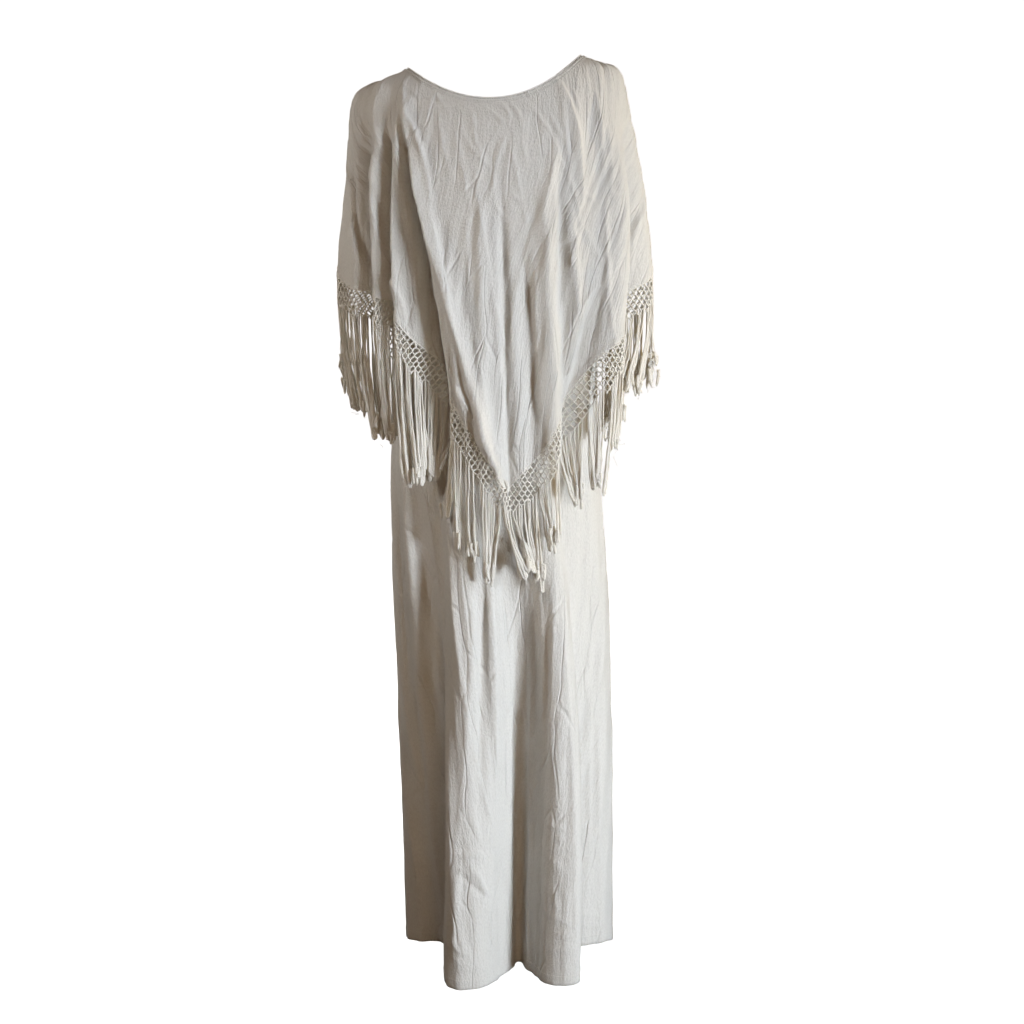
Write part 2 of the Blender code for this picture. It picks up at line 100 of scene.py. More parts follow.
Section = namedtuple("Section", "height left right front back centre")
CAPE_ROUNDNESS = 2.25
CAPE_SECTIONS = (
    Section(-0.800, 0.238, 0.238, 0.142, 0.138, 0),
    Section(-0.650, 0.236, 0.236, 0.140, 0.136, 0),
    Section(-0.300, 0.233, 0.230, 0.136, 0.132, 0),
    Section(-0.200, 0.225, 0.218, 0.130, 0.126, 0),
    Section(-0.100, 0.220, 0.198, 0.110, 0.108, 0),
    Section(-0.050, 0.215, 0.187, 0.086, 0.086, 0),
    Section(-0.030, 0.206, 0.181, 0.071, 0.072, 0),
    Section(-0.020, 0.187, 0.172, 0.062, 0.063, 0),
    Section(-0.010, 0.155, 0.146, 0.050, 0.051, 0),
    Section(0.000, 0.130, 0.120, 0.034, 0.035, 0),
    Section(0.006, 0.122, 0.112, 0.026, 0.026, 0),
)
DRESS_ROUNDNESS = 2.2
DRESS_SECTIONS = (
    Section(-1.380, 0.146, 0.180, 0.055, 0.062, 0.032),
    Section(-1.190, 0.151, 0.180, 0.066, 0.072, 0.032),
    Section(-1.030, 0.154, 0.177, 0.080, 0.084, 0.031),
    Section(-0.900, 0.158, 0.173, 0.093, 0.094, 0.028),
    Section(-0.770, 0.162, 0.167, 0.102, 0.102, 0.020),
    Section(-0.650, 0.163, 0.157, 0.103, 0.105, 0.010),
    Section(-0.550, 0.160, 0.150, 0.101, 0.105, 0.004),
    Section(-0.380, 0.156, 0.148, 0.097, 0.104, 0),
    Section(-0.200, 0.158, 0.152, 0.099, 0.105, 0),
    Section(-0.100, 0.163, 0.156, 0.095, 0.098, 0),
    Section(0.006, 0.166, 0.158, 0.085, 0.085, 0),
)

# Height of the lower edge all round the garment
CAPE_HEM = (
    (0, -0.297), (12, -0.328), (40, -0.425), (66, -0.520), (88, -0.612),
    (112, -0.525), (140, -0.418), (168, -0.325), (180, -0.295), (194, -0.323),
    (203, -0.335), (211, -0.344), (219, -0.374), (225, -0.412), (236, -0.466),
    (243, -0.487), (254, -0.528), (266, -0.575), (275, -0.612), (285, -0.590),
    (293, -0.570), (301, -0.527), (310, -0.487), (322, -0.420), (329, -0.396),
    (350, -0.330), (360, -0.297),
)
DRESS_HEM = (
    (0, -1.360), (30, -1.368), (90, -1.370), (150, -1.366), (180, -1.356),
    (198, -1.347), (214, -1.352), (226, -1.372), (245, -1.374), (270, -1.372),
    (300, -1.368), (314, -1.364), (332, -1.350), (345, -1.350), (360, -1.360),
)
# Depth of the net below the cape's hem
NET_DEPTH = (
    (0, 0.042), (40, 0.046), (74, 0.054), (88, 0.034), (102, 0.054), (140, 0.046),
    (180, 0.042), (224, 0.041), (232, 0.055), (267, 0.054), (274, 0.034), (282, 0.043),
    (292, 0.057), (318, 0.058), (335, 0.044), (360, 0.042),
)

# A fold starts at height top and has its full form at height low. depth is out (+) or in
# (-). A sharpness of 2 is round, less is pinched, more is flat-topped with steep sides.
# rise is the share of its run over which it grows, and fade 1 makes it die out at low.
Fold = namedtuple("Fold", "top low angle end_angle width end_width depth sharpness rise fade")
CAPE_FOLDS = (
    Fold(-0.08, -0.30, 188.0, 187.0, 3.0, 3.5, 0.005, 2.0, 0.8, 0),
    Fold(-0.05, -0.32, 190.0, 191.0, 3.0, 4.0, 0.003, 2.0, 0.6, 0),
    Fold(-0.05, -0.32, 197.0, 203.0, 2.7, 2.7, -0.038, 2.6, 0.6, 0),
    Fold(-0.05, -0.33, 206.0, 213.0, 2.7, 2.7, -0.038, 2.6, 0.6, 0),
    Fold(-0.04, -0.40, 212.0, 221.5, 3.2, 4.0, 0.007, 2.4, 0.6, 0),
    Fold(-0.03, -0.43, 213.0, 231.0, 3.2, 6.2, -0.050, 2.1, 0.7, 0),
    Fold(-0.01, -0.60, 207.5, 271.0, 2.4, 4.2, 0.016, 1.5, 0.15, 0),
    Fold(-0.32, -0.53, 241.5, 253.0, 2.6, 3.0, 0.006, 1.6, 0.6, 0),
    Fold(-0.12, -0.50, 259.0, 262.0, 3.6, 4.0, 0.007, 2.0, 0.5, 0),
    Fold(-0.12, -0.54, 272.0, 276.5, 2.6, 3.2, -0.009, 2.0, 0.5, 0),
    Fold(-0.20, -0.50, 283.0, 291.0, 5.0, 6.0, -0.009, 2.0, 0.8, 0),
    Fold(-0.14, -0.44, 296.0, 297.0, 2.8, 3.4, 0.008, 2.0, 0.5, 0),
    Fold(-0.14, -0.42, 305.0, 307.5, 2.4, 3.0, -0.009, 2.0, 0.5, 0),
    Fold(-0.10, -0.40, 307.0, 292.0, 5.0, 5.0, 0.007, 2.0, 0.4, 1),
    Fold(-0.28, -0.50, 301.0, 301.0, 2.4, 3.0, 0.007, 1.6, 0.6, 0),
    Fold(-0.02, -0.26, 320.0, 314.0, 2.4, 2.2, 0.008, 1.5, 0.2, 1),
    Fold(-0.17, -0.38, 309.5, 313.5, 2.0, 2.0, 0.006, 1.5, 0.3, 1),
    Fold(-0.30, -0.46, 324.0, 313.0, 3.0, 3.4, -0.015, 2.0, 0.6, 0),
    Fold(-0.03, -0.41, 337.0, 326.5, 4.0, 6.0, 0.014, 2.2, 0.5, 0),
    Fold(-0.04, -0.34, 349.0, 344.0, 4.0, 7.0, -0.050, 2.4, 0.8, 0),
    Fold(-0.06, -0.33, 8.0, 14.0, 4.0, 5.5, -0.030, 2.2, 0.8, 0),
    Fold(-0.06, -0.42, 24.0, 30.0, 4.0, 5.0, 0.010, 2.0, 0.8, 0),
    Fold(-0.05, -0.46, 40.0, 46.0, 4.0, 5.5, -0.028, 2.2, 0.8, 0),
    Fold(-0.02, -0.60, 38.0, 80.0, 3.0, 3.4, 0.012, 1.5, 0.2, 0),
    Fold(-0.20, -0.55, 92.0, 97.0, 4.0, 5.0, -0.014, 2.0, 0.8, 0),
    Fold(-0.02, -0.55, 146.0, 110.0, 3.0, 3.4, 0.010, 1.6, 0.2, 0),
    Fold(-0.06, -0.45, 136.0, 130.0, 4.0, 5.5, -0.026, 2.2, 0.8, 0),
    Fold(-0.06, -0.40, 152.0, 147.0, 4.0, 5.0, 0.010, 2.0, 0.8, 0),
    Fold(-0.08, -0.34, 166.0, 163.0, 4.0, 5.0, -0.024, 2.2, 0.8, 0),
)
DRESS_FOLDS = (
    Fold(-0.42, -1.37, 245.0, 238.0, 17.0, 19.5, 0.112, 3.0, 1.0, 0),
    Fold(-0.42, -1.37, 299.0, 297.0, 8.0, 17.0, 0.104, 3.2, 1.0, 0),
    Fold(-0.40, -1.34, 252.0, 246.5, 4.2, 4.4, -0.012, 2.0, 0.5, 1),
    Fold(-0.50, -1.30, 198.0, 196.0, 3.0, 3.4, -0.008, 2.0, 0.5, 0),
    Fold(-0.50, -1.20, 204.5, 203.0, 3.0, 3.6, 0.009, 2.0, 0.5, 1),
    Fold(-0.50, -1.30, 336.0, 342.0, 5.0, 6.0, 0.006, 2.0, 0.6, 0),
    Fold(-0.42, -1.37, 62.0, 61.0, 10.0, 17.0, 0.096, 3.8, 1.0, 0),
    Fold(-0.42, -1.37, 116.0, 119.0, 14.0, 18.0, 0.100, 3.8, 1.0, 0),
    Fold(-0.50, -1.30, 20.0, 22.0, 4.0, 5.0, 0.007, 2.0, 0.6, 0),
)

# Creases in the cloth: a path of angle and height from one end to the other, the width of
# its two flanks in units of CREASE_SPREAD, and its height in units of CREASE_GAIN, in (-)
# or out (+)
Crease = namedtuple("Crease", "path near far rise")
CREASE_GAIN = 0.0022
CREASE_SPREAD = 0.0010
CAPE_CREASES = (
    Crease(((193.1, -0.181), (197.0, -0.251), (200.6, -0.318)), 4, 6, 1.6),
    Crease(((193.0, -0.143), (196.7, -0.227), (202.1, -0.323)), 5, 5, -3.0),
    Crease(((198.3, -0.092), (205.9, -0.213), (209.9, -0.332)), 4, 6, 2.4),
    Crease(((204.9, -0.078), (209.5, -0.199), (211.9, -0.343)), 5, 5, -4.0),
    Crease(((210.4, -0.289), (218.2, -0.329), (220.9, -0.374)), 3, 4, 1.8),
    Crease(((208.9, -0.060), (218.5, -0.229), (223.6, -0.401)), 4, 7, 2.2),
    Crease(((211.1, -0.047), (221.0, -0.243), (227.9, -0.451)), 5, 7, -4.0),
    Crease(((199.3, -0.017), (222.9, -0.115), (233.2, -0.216)), 3, 6, 3.0),
    Crease(((233.2, -0.216), (239.4, -0.287), (247.9, -0.384)), 3, 6, 2.6),
    Crease(((247.9, -0.384), (258.4, -0.498), (272.7, -0.597)), 4, 6, 2.4),
    Crease(((244.4, -0.368), (247.5, -0.441), (253.4, -0.530)), 3, 4, 1.8),
    Crease(((246.0, -0.452), (257.0, -0.517), (272.0, -0.588)), 2, 4, 1.8),
    Crease(((247.0, -0.470), (257.0, -0.528), (270.0, -0.584)), 2, 3, 1.6),
    Crease(((240.0, -0.420), (252.0, -0.488), (268.0, -0.560)), 2, 4, 1.6),
    Crease(((255.7, -0.161), (261.8, -0.244), (267.7, -0.342)), 2, 5, 1.1),
    Crease(((267.7, -0.342), (271.5, -0.412), (273.6, -0.527)), 2, 5, 1.1),
    Crease(((241.6, -0.103), (249.0, -0.160), (254.0, -0.223)), 3, 5, 1.2),
    Crease(((254.0, -0.223), (252.6, -0.272), (257.3, -0.370)), 3, 5, 1.1),
    Crease(((245.2, -0.094), (252.1, -0.126), (265.9, -0.157)), 2, 4, 1.1),
    Crease(((250.8, -0.079), (256.8, -0.126), (267.8, -0.164)), 2, 4, 1.0),
    Crease(((224.5, -0.055), (235.0, -0.117), (243.3, -0.181)), 3, 5, 1.0),
    Crease(((271.2, -0.065), (278.7, -0.082), (278.2, -0.103)), 2, 3, 1.2),
    Crease(((278.2, -0.103), (271.7, -0.135), (267.7, -0.159)), 2, 3, 1.2),
    Crease(((267.7, -0.159), (267.7, -0.182), (268.3, -0.208)), 2, 3, 1.0),
    Crease(((268.3, -0.208), (271.4, -0.219), (275.0, -0.228)), 2, 3, 0.9),
    Crease(((261.4, -0.073), (271.9, -0.090), (272.6, -0.097)), 2, 3, 1.1),
    Crease(((272.6, -0.097), (266.8, -0.117), (264.2, -0.134)), 2, 3, 1.0),
    Crease(((280.1, -0.068), (287.0, -0.088), (286.8, -0.115)), 2, 3, 1.2),
    Crease(((286.8, -0.115), (287.9, -0.136), (290.2, -0.160)), 2, 3, 1.0),
    Crease(((279.3, -0.122), (282.7, -0.169), (285.9, -0.210)), 2, 4, 1.1),
    Crease(((285.9, -0.210), (286.6, -0.224), (287.9, -0.236)), 2, 3, 0.9),
    Crease(((279.6, -0.193), (282.3, -0.201), (285.2, -0.205)), 2, 3, 0.9),
    Crease(((295.4, -0.071), (303.4, -0.107), (307.3, -0.145)), 2, 4, 1.3),
    Crease(((307.3, -0.145), (311.8, -0.184), (314.0, -0.240)), 2, 4, 1.2),
    Crease(((307.3, -0.087), (309.0, -0.107), (311.7, -0.128)), 2, 3, 1.0),
    Crease(((219.5, -0.042), (224.9, -0.053), (232.9, -0.073)), 2, 3, 1.0),
    Crease(((249.0, -0.073), (252.5, -0.090), (254.0, -0.105)), 2, 3, 1.0),
    Crease(((318.5, -0.053), (313.1, -0.111), (312.5, -0.178)), 3, 5, 2.2),
    Crease(((312.5, -0.178), (313.2, -0.204), (314.0, -0.240)), 3, 4, 1.4),
    Crease(((325.2, -0.048), (323.6, -0.070), (322.6, -0.087)), 2, 3, 1.2),
    Crease(((308.4, -0.191), (309.8, -0.266), (312.2, -0.350)), 3, 5, 1.8),
    Crease(((335.3, -0.057), (330.2, -0.112), (326.8, -0.192)), 3, 5, 2.0),
    Crease(((326.8, -0.192), (324.7, -0.300), (325.4, -0.411)), 3, 5, 2.0),
    Crease(((333.9, -0.088), (331.1, -0.139), (328.2, -0.205)), 3, 5, 1.2),
    Crease(((315.0, -0.234), (319.4, -0.262), (323.5, -0.293)), 2, 3, 1.2),
    Crease(((316.8, -0.192), (320.3, -0.202), (323.1, -0.211)), 2, 3, 0.9),
    Crease(((312.1, -0.328), (314.4, -0.364), (319.7, -0.386)), 2, 4, 1.4),
    Crease(((324.0, -0.321), (317.2, -0.340), (308.2, -0.392)), 3, 4, 1.6),
    Crease(((323.2, -0.325), (320.1, -0.394), (316.2, -0.455)), 4, 4, -2.4),
    Crease(((324.0, -0.328), (322.8, -0.371), (320.8, -0.407)), 2, 3, 1.2),
    Crease(((305.6, -0.137), (297.9, -0.204), (292.1, -0.258)), 4, 6, 1.4),
    Crease(((292.1, -0.258), (289.6, -0.293), (287.9, -0.342)), 4, 6, 1.2),
    Crease(((284.6, -0.272), (288.4, -0.342), (290.6, -0.414)), 5, 5, -1.8),
    Crease(((290.6, -0.414), (291.2, -0.471), (292.4, -0.528)), 5, 5, -2.0),
    Crease(((292.0, -0.272), (292.4, -0.356), (295.3, -0.514)), 3, 4, 1.6),
    Crease(((300.3, -0.259), (299.9, -0.356), (298.6, -0.485)), 2, 4, 1.2),
    Crease(((305.7, -0.204), (303.0, -0.286), (300.2, -0.342)), 3, 5, 1.2),
    Crease(((266.0, -0.314), (272.4, -0.384), (277.9, -0.426)), 2, 4, 1.0),
    Crease(((277.9, -0.426), (277.5, -0.477), (278.8, -0.527)), 2, 4, 1.0),
    Crease(((254.3, -0.342), (259.5, -0.427), (265.4, -0.513)), 3, 4, 1.2),
    Crease(((353.3, -0.210), (350.9, -0.266), (350.0, -0.310)), 3, 5, 1.4),
    Crease(((347.4, -0.083), (340.0, -0.190), (335.0, -0.300)), 4, 6, 1.6),
    Crease(((354.8, -0.224), (352.7, -0.259), (351.1, -0.290)), 2, 4, 1.0),
    Crease(((272.9, -0.527), (275.1, -0.564), (276.1, -0.600)), 2, 3, 1.0),
    Crease(((303.1, -0.478), (309.1, -0.450), (319.1, -0.415)), 2, 3, 0.9),
    Crease(((38.0, -0.030), (52.0, -0.240), (78.0, -0.580)), 3, 6, 2.4),
    Crease(((144.0, -0.030), (128.0, -0.250), (108.0, -0.520)), 3, 6, 2.2),
    Crease(((60.0, -0.080), (66.0, -0.180), (74.0, -0.330)), 2, 5, 1.1),
    Crease(((112.0, -0.070), (106.0, -0.190), (102.0, -0.330)), 2, 5, 1.1),
    Crease(((84.0, -0.060), (90.0, -0.120), (86.0, -0.180)), 2, 4, 1.0),
    Crease(((96.0, -0.080), (92.0, -0.140), (97.0, -0.210)), 2, 4, 1.0),
    Crease(((76.0, -0.200), (82.0, -0.260), (80.0, -0.330)), 2, 4, 0.9),
    Crease(((20.0, -0.060), (28.0, -0.180), (32.0, -0.340)), 3, 5, 1.6),
    Crease(((160.0, -0.060), (150.0, -0.200), (146.0, -0.360)), 3, 5, 1.6),
    Crease(((66.0, -0.300), (76.0, -0.420), (88.0, -0.560)), 3, 4, 1.2),
    Crease(((118.0, -0.320), (104.0, -0.430), (94.0, -0.540)), 3, 4, 1.2),
)
DRESS_CREASES = (
    Crease(((204.0, -0.626), (205.9, -0.790), (204.7, -0.979)), 6, 8, 2.4),
    Crease(((204.7, -0.979), (201.2, -1.110), (197.5, -1.244)), 5, 8, 1.8),
    Crease(((193.8, -0.644), (193.9, -0.798), (193.4, -0.970)), 5, 6, -2.6),
    Crease(((211.2, -0.729), (210.7, -0.851), (208.4, -1.009)), 5, 6, -2.4),
    Crease(((210.3, -0.789), (210.7, -0.851), (213.2, -0.875)), 2, 4, 1.2),
    Crease(((247.0, -0.749), (243.9, -0.911), (240.1, -1.077)), 3, 6, 1.6),
    Crease(((240.1, -1.077), (239.2, -1.115), (238.7, -1.146)), 3, 5, 1.2),
    Crease(((233.2, -0.714), (237.8, -0.846), (243.4, -0.956)), 2, 5, 1.4),
    Crease(((243.4, -0.956), (246.1, -1.016), (249.9, -1.081)), 2, 5, 1.4),
    Crease(((252.2, -0.750), (248.3, -0.912), (248.4, -1.062)), 5, 5, -3.0),
    Crease(((256.6, -0.750), (255.2, -0.959), (254.3, -1.207)), 3, 5, 1.8),
    Crease(((247.5, -1.046), (251.2, -1.095), (254.1, -1.130)), 2, 4, 1.2),
    Crease(((243.7, -1.083), (246.5, -1.121), (248.8, -1.145)), 2, 4, 1.2),
    Crease(((235.9, -1.158), (244.8, -1.161), (253.0, -1.157)), 2, 4, 1.6),
    Crease(((235.3, -1.173), (244.9, -1.163), (254.7, -1.171)), 2, 3, 1.2),
    Crease(((237.4, -1.179), (242.0, -1.172), (245.8, -1.183)), 2, 3, 1.4),
    Crease(((245.8, -1.183), (248.8, -1.206), (252.1, -1.243)), 2, 4, 1.4),
    Crease(((237.6, -1.133), (239.8, -1.141), (242.4, -1.131)), 2, 3, 1.2),
    Crease(((240.8, -1.181), (238.5, -1.216), (239.4, -1.270)), 3, 4, 1.6),
    Crease(((239.4, -1.270), (241.5, -1.302), (245.3, -1.324)), 3, 4, 1.6),
    Crease(((243.0, -1.181), (247.9, -1.199), (251.1, -1.233)), 2, 4, 1.3),
    Crease(((235.0, -1.281), (238.9, -1.306), (243.7, -1.319)), 3, 4, 1.6),
    Crease(((236.0, -1.240), (237.9, -1.279), (235.9, -1.312)), 2, 4, 1.2),
    Crease(((250.9, -1.257), (252.2, -1.299), (251.5, -1.337)), 2, 4, 1.4),
    Crease(((275.0, -0.649), (263.2, -1.003), (260.9, -1.352)), 4, 6, 1.2),
    Crease(((288.0, -0.664), (281.9, -1.003), (282.2, -1.319)), 4, 6, 1.2),
    Crease(((289.1, -0.766), (288.5, -0.871), (286.2, -0.995)), 2, 4, 1.6),
    Crease(((299.3, -0.722), (290.7, -0.912), (292.0, -1.063)), 3, 5, 1.6),
    Crease(((293.0, -0.779), (289.3, -0.915), (287.5, -1.038)), 3, 5, -1.8),
    Crease(((298.9, -0.779), (299.2, -0.988), (300.4, -1.329)), 3, 5, 1.6),
    Crease(((285.6, -1.119), (289.4, -1.118), (297.2, -1.128)), 2, 3, 1.4),
    Crease(((287.0, -1.135), (291.6, -1.136), (299.4, -1.142)), 2, 3, 1.2),
    Crease(((287.6, -1.162), (292.4, -1.151), (298.3, -1.154)), 2, 3, 1.2),
    Crease(((286.6, -1.165), (290.0, -1.175), (294.4, -1.186)), 2, 3, 1.4),
    Crease(((288.2, -1.177), (291.4, -1.188), (294.9, -1.182)), 2, 3, 1.0),
    Crease(((287.0, -1.258), (292.1, -1.262), (299.2, -1.272)), 2, 4, 1.4),
    Crease(((287.6, -1.287), (292.0, -1.287), (298.6, -1.286)), 2, 3, 1.2),
    Crease(((286.5, -1.315), (292.3, -1.310), (299.3, -1.307)), 2, 4, 1.4),
    Crease(((288.4, -1.211), (290.5, -1.240), (289.7, -1.281)), 2, 4, 1.2),
    Crease(((303.0, -1.254), (340.0, -1.304), (349.9, -1.302)), 3, 4, 1.2),
    Crease(((301.7, -1.269), (339.7, -1.317), (352.5, -1.319)), 2, 4, 1.2),
    Crease(((334.8, -0.949), (338.7, -1.111), (343.1, -1.261)), 4, 6, 1.4),
    Crease(((327.5, -0.822), (332.0, -1.044), (337.1, -1.274)), 4, 6, 1.4),
    Crease(((237.3, -1.335), (244.6, -1.340), (252.1, -1.341)), 2, 3, 1.2),
    Crease(((235.9, -1.312), (240.8, -1.329), (248.5, -1.322)), 2, 4, 1.4),
    Crease(((63.0, -0.750), (61.0, -0.950), (64.0, -1.200)), 3, 5, 1.6),
    Crease(((118.0, -0.760), (121.0, -0.980), (116.0, -1.220)), 3, 5, 1.6),
    Crease(((52.0, -1.160), (61.0, -1.166), (70.0, -1.158)), 2, 4, 1.4),
    Crease(((108.0, -1.150), (118.0, -1.160), (130.0, -1.152)), 2, 4, 1.4),
    Crease(((56.0, -1.280), (62.0, -1.300), (70.0, -1.310)), 3, 4, 1.4),
    Crease(((110.0, -1.270), (117.0, -1.296), (127.0, -1.300)), 3, 4, 1.4),
    Crease(((60.0, -1.185), (66.0, -1.215), (70.0, -1.250)), 2, 4, 1.2),
    Crease(((124.0, -1.180), (117.0, -1.214), (112.0, -1.246)), 2, 4, 1.2),
    Crease(((20.0, -0.800), (22.0, -1.000), (26.0, -1.250)), 4, 6, 1.6),
    Crease(((88.0, -0.700), (89.0, -1.000), (90.0, -1.340)), 4, 6, 1.2),
)

# Each bundle takes the yarns whose roots lie before last_angle, and its yarns swell at the end
Bundle = namedtuple("Bundle", "last_angle end_x end_height swell")
FRONT_BUNDLES = (
    Bundle(193.0, -0.214, -0.497, 0.4),
    Bundle(199.5, -0.196, -0.502, 0.5),
    Bundle(206.0, -0.174, -0.530, 0.7),
    Bundle(214.0, -0.155, -0.537, 0.6),
    Bundle(221.0, -0.130, -0.602, 0.6),
    Bundle(226.0, -0.113, -0.598, 0.4),
    Bundle(236.5, -0.094, -0.594, 0.9),
    Bundle(243.0, -0.076, -0.648, 0.7),
    Bundle(251.5, -0.057, -0.689, 0.2),
    Bundle(260.0, -0.036, -0.704, 0.2),
    Bundle(271.5, -0.014, -0.736, 0.5),
    Bundle(286.0, 0.044, -0.730, 0.5),
    Bundle(294.0, 0.062, -0.741, 0.6),
    Bundle(303.5, 0.082, -0.686, 0.3),
    Bundle(317.0, 0.117, -0.627, 0.4),
    Bundle(326.0, 0.147, -0.604, 0.4),
    Bundle(332.0, 0.171, -0.551, 0.3),
    Bundle(341.0, 0.156, -0.520, 0.3),
    Bundle(349.0, 0.166, -0.500, 0.4),
    Bundle(353.0, 0.192, -0.470, 0.4),
    Bundle(357.5, 0.209, -0.476, 0.4),
    Bundle(360.0, 0.230, -0.440, 0.5),
)
BACK_BUNDLE = 5
BUNDLE_SPREAD = 0.44
BACK_FRINGE = (0.112, 0.128, 0.104, 0.120)

# Soft waves all over the cloth: how many, their shortest and longest length, how much they
# are stretched down the cloth and how far they lean
Waves = namedtuple("Waves", "count shortest longest stretch slant")
CRUMPLE = Waves(18, 0.025, 0.08, 1.6, 0.5)
CRUMPLE_SHARE = 0.6
STILL_AT_NECK = 0.03
HEM_RISE = 0.0007
HEM_STEP = 0.0012

# How the panels of a kind are cut: the spacing of their rows, the height at which their
# columns are evenly spaced, the share of their waves and the start of their random draws
Pattern = namedtuple("Pattern", "crowding even_height drape_share drape seed")
CAPE_PATTERN = Pattern(1.0, -0.34, 0.9, Waves(24, 0.014, 0.06, 11.0, 0.25), 11)
DRESS_PATTERN = Pattern(0.92, -1.20, 1.2, Waves(24, 0.014, 0.06, 11.0, 0.10), 31)

# The binding's profile: ways down from the neck's edge, and how far each stands out
BINDING_COLUMNS = 260
BINDING_WAYS = (0.0, 0.0012, 0.0022, 0.0032, 0.0058, 0.0080, 0.0090, 0.0100, 0.0112)
BINDING_SWELL = (0.0010, 0.0024, 0.0024, 0.0009, 0.0028, 0.0026, 0.0007, 0.0027, 0.0011)
BINDING_PUCKER = 0.00022
BINDING_WEAVE = (1.1, 0.0022)
SEAM_WAYS = (0.0020, 0.0032, 0.0090, 0.0102)
SEAM_LIFT = 0.0003
THREAD_TAIL_X = -0.084
STITCH_SPACING = 0.0034
STITCH_SIZE = 0.0026

# Yarns of the net and the fringe
NET_REACH = 0.68
KNOT_JITTER = 0.0005
DRAW_POWER = 1.6
END_JITTER = (0.0016, 0.0022, 0.009)
LOOP_TOP = 0.0009
LOOP_LOW = 0.0016
LOOP_SAG = 0.0022
SWAY_WAVES = (0.8, 1.7, 3.1)
SWAY_SIZE = 0.0007
FIBRES = 14
FIBRE_RADIUS = 0.00022

# Lamps: the place and aim, the size in metres, the beam's spread in degrees, the power in
# watts and the colour
Lamp = namedtuple("Lamp", "name place aim size spread power colour")
LAMPS = (
    Lamp("key", (3.1, -3.0, -1.0), (0, 0, -1.18), 0.9, 54, 18.6, (0.82, 0.90, 0.98)),
    Lamp("upper", (3.2, -2.4, 0.7), (-0.05, 0, -0.24), 0.5, 42, 4.2, (0.87, 0.92, 0.98)),
    Lamp("left", (-3.2, -0.9, 0.6), (-0.16, 0, -0.25), 0.5, 40, 2.4, (1.0, 0.95, 0.88)),
    Lamp("front", (0.9, -3.6, -0.6), (0, 0, -1.15), 1.2, 70, 2.6, (1.0, 0.74, 0.48)),
    Lamp("fill", (-0.4, -3.4, 0.5), (0, 0, -0.3), 1.2, 180, 5.0, (1.0, 0.73, 0.48)),
    Lamp("rim", (3.2, 0.2, 0.3), (0.24, 0, -0.22), 0.5, 36, 1.8, (1.0, 0.74, 0.34)),
    Lamp("back", (-1.6, 2.4, 0.4), (0, 0, -0.6), 1.6, 180, 36, (1.0, 0.93, 0.82)),
)
ROOM_COLOUR = (1.0, 0.50, 0.24, 1)
ROOM_STRENGTH = 0.06
STAGE_SHADE = (0.12, 0.10, 0.08, 1)
STAGE_NEAR = -9.0
STAGE_FAR = 7.0
STAGE_HALF_WIDTH = 12.0
STAGE_HEIGHT = 8.0
STAGE_CURVE = 2.0
STAGE_STEPS = 11
STAGE_GAP = 0.012
CAMERA_PLACE = (0.0209, -2.5, -0.27)
CAMERA_TILT = 9.07
CAMERA_LENS = 58.15


class ClothSizes(PropertyGroup):
    """Sizes of the gauze."""

    thickness: FloatProperty(name="Thickness", description="Thickness of the gauze",
                             default=0.0009, unit="LENGTH")
    cape_columns: IntProperty(name="Cape columns", description="Columns across half a cape",
                              default=268)
    cape_rows: IntProperty(name="Cape rows", description="Rows down the cape", default=184)
    skirt_columns: IntProperty(name="Skirt columns", description="Columns across half a dress",
                               default=200)
    skirt_rows: IntProperty(name="Skirt rows", description="Rows down the dress", default=244)
    back_share: FloatProperty(name="Back share", description="Columns and rows of the back, "
                              "as a share of the front's", default=0.70, subtype="FACTOR")
    hem_depth: FloatProperty(name="Hem depth", description="Depth of the dress's turned hem",
                             default=0.017, unit="LENGTH")
    cape_hem_depth: FloatProperty(name="Cape hem depth", description="Depth of the cape's "
                                  "turned hem", default=0.009, unit="LENGTH")
    roll_radius: FloatProperty(name="Roll radius", description="Half the thickness of the "
                               "cape's rolled edge", default=0.0012, unit="LENGTH")
    unevenness: FloatProperty(name="Unevenness", description="Height of the gauze's own "
                              "gentle waves", default=0.0011, unit="LENGTH")


class NetSizes(PropertyGroup):
    """Sizes of the knotted net and the fringe."""

    cell_width: FloatProperty(name="Cell width", description="Width of a net cell",
                              default=0.0094, unit="LENGTH")
    row_height: FloatProperty(name="Row height", description="Height between rows of knots",
                              default=0.0066, unit="LENGTH")
    cord_radius: FloatProperty(name="Cord radius", description="Half a net cord's thickness",
                               default=0.0013, unit="LENGTH")
    yarn_radius: FloatProperty(name="Yarn radius", description="Half a fringe yarn's thickness",
                               default=0.0012, unit="LENGTH")
    missing_share: FloatProperty(name="Missing share", description="Share of the lowest knots "
                                 "with no yarn", default=0.24, subtype="FACTOR")
    loop_share: FloatProperty(name="Loop share", description="Share of the lowest knots with "
                              "a loop of yarn, where the rest have a single yarn",
                              default=0.45, subtype="FACTOR")


class Colours(PropertyGroup):
    """Colours of the dress and its stage."""

    gauze: FloatVectorProperty(name="Gauze", description="Off-white of the gauze",
                               subtype="COLOR", default=(0.82, 0.815, 0.795))
    yarn: FloatVectorProperty(name="Yarn", description="Off-white of the cotton yarn",
                              subtype="COLOR", default=(0.90, 0.885, 0.845))
    stage: FloatVectorProperty(name="Stage", description="Pale floor and backdrop",
                               subtype="COLOR", default=(0.92, 0.92, 0.92))


